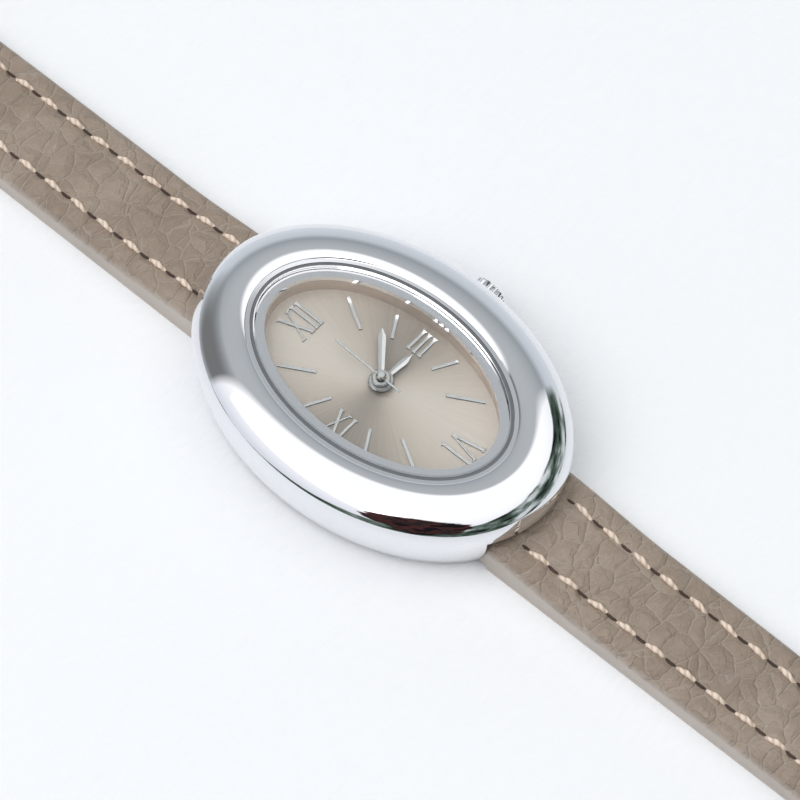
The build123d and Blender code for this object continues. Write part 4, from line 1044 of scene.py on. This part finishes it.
def stitch_points(strap, sign, start, on_face, slant):
    """The rings of one stitch along a row, on the face or on the lining."""
    points = []
    for step in range(STITCH_STEPS + 1):
        share = step / STITCH_STEPS
        place = start + STITCH_RUN * share
        x = sign * strap.row(place) + slant * (share - 0.5)
        arch = math.sin(math.pi * share) ** ARCH_POWER
        if on_face:
            level = strap.face(x, place) + (FACE_ARCH_MM * arch - FACE_SINK_MM) * MM
            radius = THREAD_RADIUS * (END_SHARE + (1 - END_SHARE) * arch)
        else:
            level = strap.under(place) + (LINING_SINK_MM - LINING_ARCH_MM * arch) * MM
            radius = THREAD_RADIUS * LINING_SHARE
        for turn in turns(THREAD_POINTS):
            twisted = 2 * turn - QUARTER_TWISTS * share * math.pi / 2
            reach = radius * (1 + PLY_RELIEF * math.cos(twisted))
            points.append((x + reach * math.cos(turn), strap.y(place),
                           level + reach * math.sin(turn)))
    return points


def painted_shade_pit_points(strap, sign, place):
    """The rim of one dark disc of painted shade over a needle hole on the face, and then its
    middle.
    """
    x = sign * strap.row(place)
    points = []
    for turn in turns(PIT_POINTS):
        across = x + PIT_HALF_WIDTH * math.cos(turn)
        along = place + PIT_REACH * PIT_STRETCH * math.sin(turn)
        points.append((across, strap.y(along), strap.sewn_face(across, along) + PIT_LIFT))
    points.append((x, strap.y(place), strap.sewn_face(x, place) + PIT_MIDDLE_LIFT))
    return points


def stitch_piece(name, strap, body, seed):
    """All the thread that shows on one strap, with dark discs of painted shade at its ends."""
    chance = random.Random(seed)
    points = []
    faces = []
    for sign in (-1, 1):
        for start in strap.stitch_starts():
            for on_face in (True, False):
                shift = chance.uniform(-LOOSENESS_MM, LOOSENESS_MM) * MM
                slant = chance.uniform(*SLANT_MM) * MM * -sign
                faces += capped_faces(STITCH_STEPS + 1, THREAD_POINTS, len(points))
                points += stitch_points(strap, sign, start + shift, on_face, slant)
    thread_faces = len(faces)
    for sign in (-1, 1):
        for start in strap.stitch_starts():
            for place in (start - PIT_REACH, start + STITCH_RUN + PIT_REACH):
                first = len(points)
                points += painted_shade_pit_points(strap, sign, place)
                faces += [(first + index, first + (index + 1) % PIT_POINTS, first + PIT_POINTS)
                          for index in range(PIT_POINTS)]
    piece = new_piece(name, points, faces, [thread, needle_hole_painted_shade], body)
    for polygon in piece.data.polygons[thread_faces:]:
        polygon.material_index = 1


stitch_piece("stitches_12", strap_12, "upper_strap", 3)
stitch_piece("stitches_6", strap_6, "lower_strap", 5)

# Keepers: leather loops with rounded edges and corners
KEEPER_WALL = 0.8 * MM
KEEPER_CORNER = 0.9 * MM
KEEPER_POINTS = 24
CORNER_STEPS = 8
RUN_POWER = 0.35
WALL_POWER = 0.6


def squared_off(value, power):
    """A sine or cosine pushed outwards, which flattens the sides of a circle."""
    return math.copysign(abs(value) ** power, value)


def keeper_piece(name, node, body):
    """A loop whose section is swept round four corners."""
    low, high = node_box(node)
    middle = (low + high) / 2
    half = ((high.x - low.x) / 2, (high.z - low.z) / 2)
    half_run = (high.y - low.y) / 2
    section = []
    for turn in turns(KEEPER_POINTS):
        along = squared_off(math.cos(turn), RUN_POWER) * half_run
        out = squared_off(math.sin(turn), WALL_POWER) * KEEPER_WALL / 2
        section.append((along, out - KEEPER_WALL / 2))
    points = []
    for quarter, (side, rise) in enumerate(((1, 1), (-1, 1), (-1, -1), (1, -1))):
        centre_x = side * (half[0] - KEEPER_CORNER)
        centre_z = rise * (half[1] - KEEPER_CORNER)
        for step in range(CORNER_STEPS + 1):
            turn = math.pi / 2 * (quarter + step / CORNER_STEPS)
            for along, depth in section:
                reach = KEEPER_CORNER + depth
                points.append((middle.x + centre_x + reach * math.cos(turn), middle.y + along,
                               middle.z + centre_z + reach * math.sin(turn)))
    faces = grid_faces(4 * (CORNER_STEPS + 1), KEEPER_POINTS, closed_rows=True)
    piece = new_piece(name, points, faces, [leather], body, (node,))
    facing_out(piece)


keeper_piece("keeper_fixed", "fixed_keeper", "upper_strap")
keeper_piece("keeper_free", "free_keeper", "loose_keeper")

# The buckle's edges are eased
BUCKLE_EASING = 0.12 * MM
for name in ("buckle_frame", "buckle_tongue"):
    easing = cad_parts[name].modifiers.new("eased", "BEVEL")
    easing.width = BUCKLE_EASING
    easing.segments = 3
    easing.limit_method = "ANGLE"

# Floor, light and camera
FLOOR_HALF = 1.2


def floor_piece():
    """The cloth under the watch, a flat square much larger than the picture."""
    mesh = bpy.data.meshes.new("satin_floor")
    mesh.from_pydata([(-FLOOR_HALF, -FLOOR_HALF, 0), (FLOOR_HALF, -FLOOR_HALF, 0),
                      (FLOOR_HALF, FLOOR_HALF, 0), (-FLOOR_HALF, FLOOR_HALF, 0)], [],
                     [(0, 1, 2, 3)])
    mesh.materials.append(satin)
    floor = placed("satin_floor", mesh)


floor_piece()

# The camera looks at the dial's middle from the 9 to 6 o'clock side
AIM = Vector((0, 0, 4.7 * MM))
AZIMUTH = math.radians(-49.2)
ELEVATION = math.radians(60.4)
ROLL = math.radians(0.8)
DISTANCE = 306.3 * MM
FOCAL_PIXELS = 4000
DIAL_PIXEL = (381.2, 383.9)
IMAGE_PIXELS = 800
SENSOR_WIDTH = 36

back = Vector((math.sin(AZIMUTH) * math.cos(ELEVATION),
               -math.cos(AZIMUTH) * math.cos(ELEVATION), math.sin(ELEVATION)))
level_right = Vector((0, 0, 1)).cross(back).normalized()
level_up = back.cross(level_right)
right = level_right * math.cos(ROLL) + level_up * math.sin(ROLL)
up = back.cross(right)
offset_right = (DIAL_PIXEL[0] - IMAGE_PIXELS / 2) / FOCAL_PIXELS * DISTANCE
offset_up = -(DIAL_PIXEL[1] - IMAGE_PIXELS / 2) / FOCAL_PIXELS * DISTANCE
place = AIM + back * DISTANCE - right * offset_right - up * offset_up
lens = bpy.data.cameras.new("camera")
lens.sensor_width = SENSOR_WIDTH
lens.lens = SENSOR_WIDTH * FOCAL_PIXELS / IMAGE_PIXELS
camera = placed("camera", lens)
camera.matrix_world = Matrix(((right.x, up.x, back.x, place.x), (right.y, up.y, back.y, place.y),
                              (right.z, up.z, back.z, place.z), (0, 0, 0, 1)))
bpy.context.scene.camera = camera


def compass(azimuth, elevation):
    """The unit vector at an azimuth from the X axis and an elevation, in degrees."""
    turn = math.radians(azimuth)
    lift = math.radians(elevation)
    return (math.cos(turn) * math.cos(lift), math.sin(turn) * math.cos(lift), math.sin(lift))


# The directions of the window and of the things that the polished metal mirrors
WINDOW = compass(156, 62)
WINDOW_SIZE = (0.9, 0.8)
WINDOW_POWER = 3.6
SHELF = compass(120, 0)
SHELF_TOP = 0.42
SHELF_FALL = 0.40
CORNER = compass(112, 28)
FAR_WALL = compass(60, 0)
PERSON = compass(-150, 32)


def soft_lamp(name, position, size, power):
    """A panel of light a metre away that faces the watch."""
    lamp = bpy.data.lights.new(name, "AREA")
    lamp.shape = "RECTANGLE"
    lamp.size, lamp.size_y = size
    lamp.energy = power
    panel = placed(name, lamp)
    panel.location = position
    panel.rotation_euler = (-Vector(position)).to_track_quat("-Z", "Y").to_euler()


soft_lamp("window_panel", WINDOW, WINDOW_SIZE, WINDOW_POWER)


def room_light():
    """A studio seen by the polished metal: white overhead, grey walls, dark things low down."""
    world = bpy.data.worlds.new("room")
    world.use_nodes = True
    bpy.context.scene.world = world
    room = Nodes(world.node_tree, "Generated")
    height = room.towards((0, 0, 1))
    uneven = room.plus(room.noise(5, 3), -0.5)
    overhead = room.tint(height, (0.2, (0.80, 0.82, 0.88)), (0.6, (1.02, 1.02, 1.06)),
                         (0.85, (1.16, 1.16, 1.17)))

    # A shelf of dark things below an uneven line that comes down on one side
    shelf_top = room.minus(SHELF_TOP, room.times(room.towards(SHELF), SHELF_FALL))
    above = room.plus(room.minus(height, shelf_top), room.times(uneven, 0.16))
    clutter = room.tint(room.noise(3.2, 4), (0.38, (0.012, 0.014, 0.014)),
                        (0.46, (0.055, 0.085, 0.066)), (0.53, (0.16, 0.20, 0.18)),
                        (0.59, (0.42, 0.46, 0.45)), (0.66, (0.70, 0.73, 0.75)))
    view = room.mixed(room.spread(above, -0.02, 0.02, 1, 0), overhead, clutter)

    # A grey wall, darker towards its corner
    wall = room.tint(height, (0.0, (0.72, 0.76, 0.81)), (0.45, (0.60, 0.64, 0.68)),
                     (0.62, (0.34, 0.37, 0.39)), (0.88, (0.50, 0.52, 0.54)))
    corner = room.spread(room.towards(CORNER), 0.80, 0.97, 0, 1)
    wall = room.mixed(corner, wall, (0.19, 0.195, 0.195))
    view = room.mixed(room.spread(room.towards(FAR_WALL), 0.385, 0.435, 0, 1), view, wall)

    # A person in dark clothes beside the camera
    person = room.plus(room.towards(PERSON), room.times(uneven, 0.12))
    clothes = room.tint(room.noise(7, 3), (0.42, (0.010, 0.010, 0.012)),
                        (0.52, (0.085, 0.03, 0.028)), (0.60, (0.025, 0.02, 0.02)))
    view = room.mixed(room.spread(person, 0.922, 0.934, 0, 1), view, clothes)

    # The camera itself sees a plain pale backdrop
    straight = room.add("ShaderNodeLightPath").outputs["Is Camera Ray"]
    view = room.mixed(straight, view, (0.90, 0.92, 0.95))
    background = room.nodes["Background"]
    room.links.new(view, background.inputs["Color"])
    background.inputs["Strength"].default_value = 1.0


room_light()

bpy.context.scene.view_settings.view_transform = "Standard"
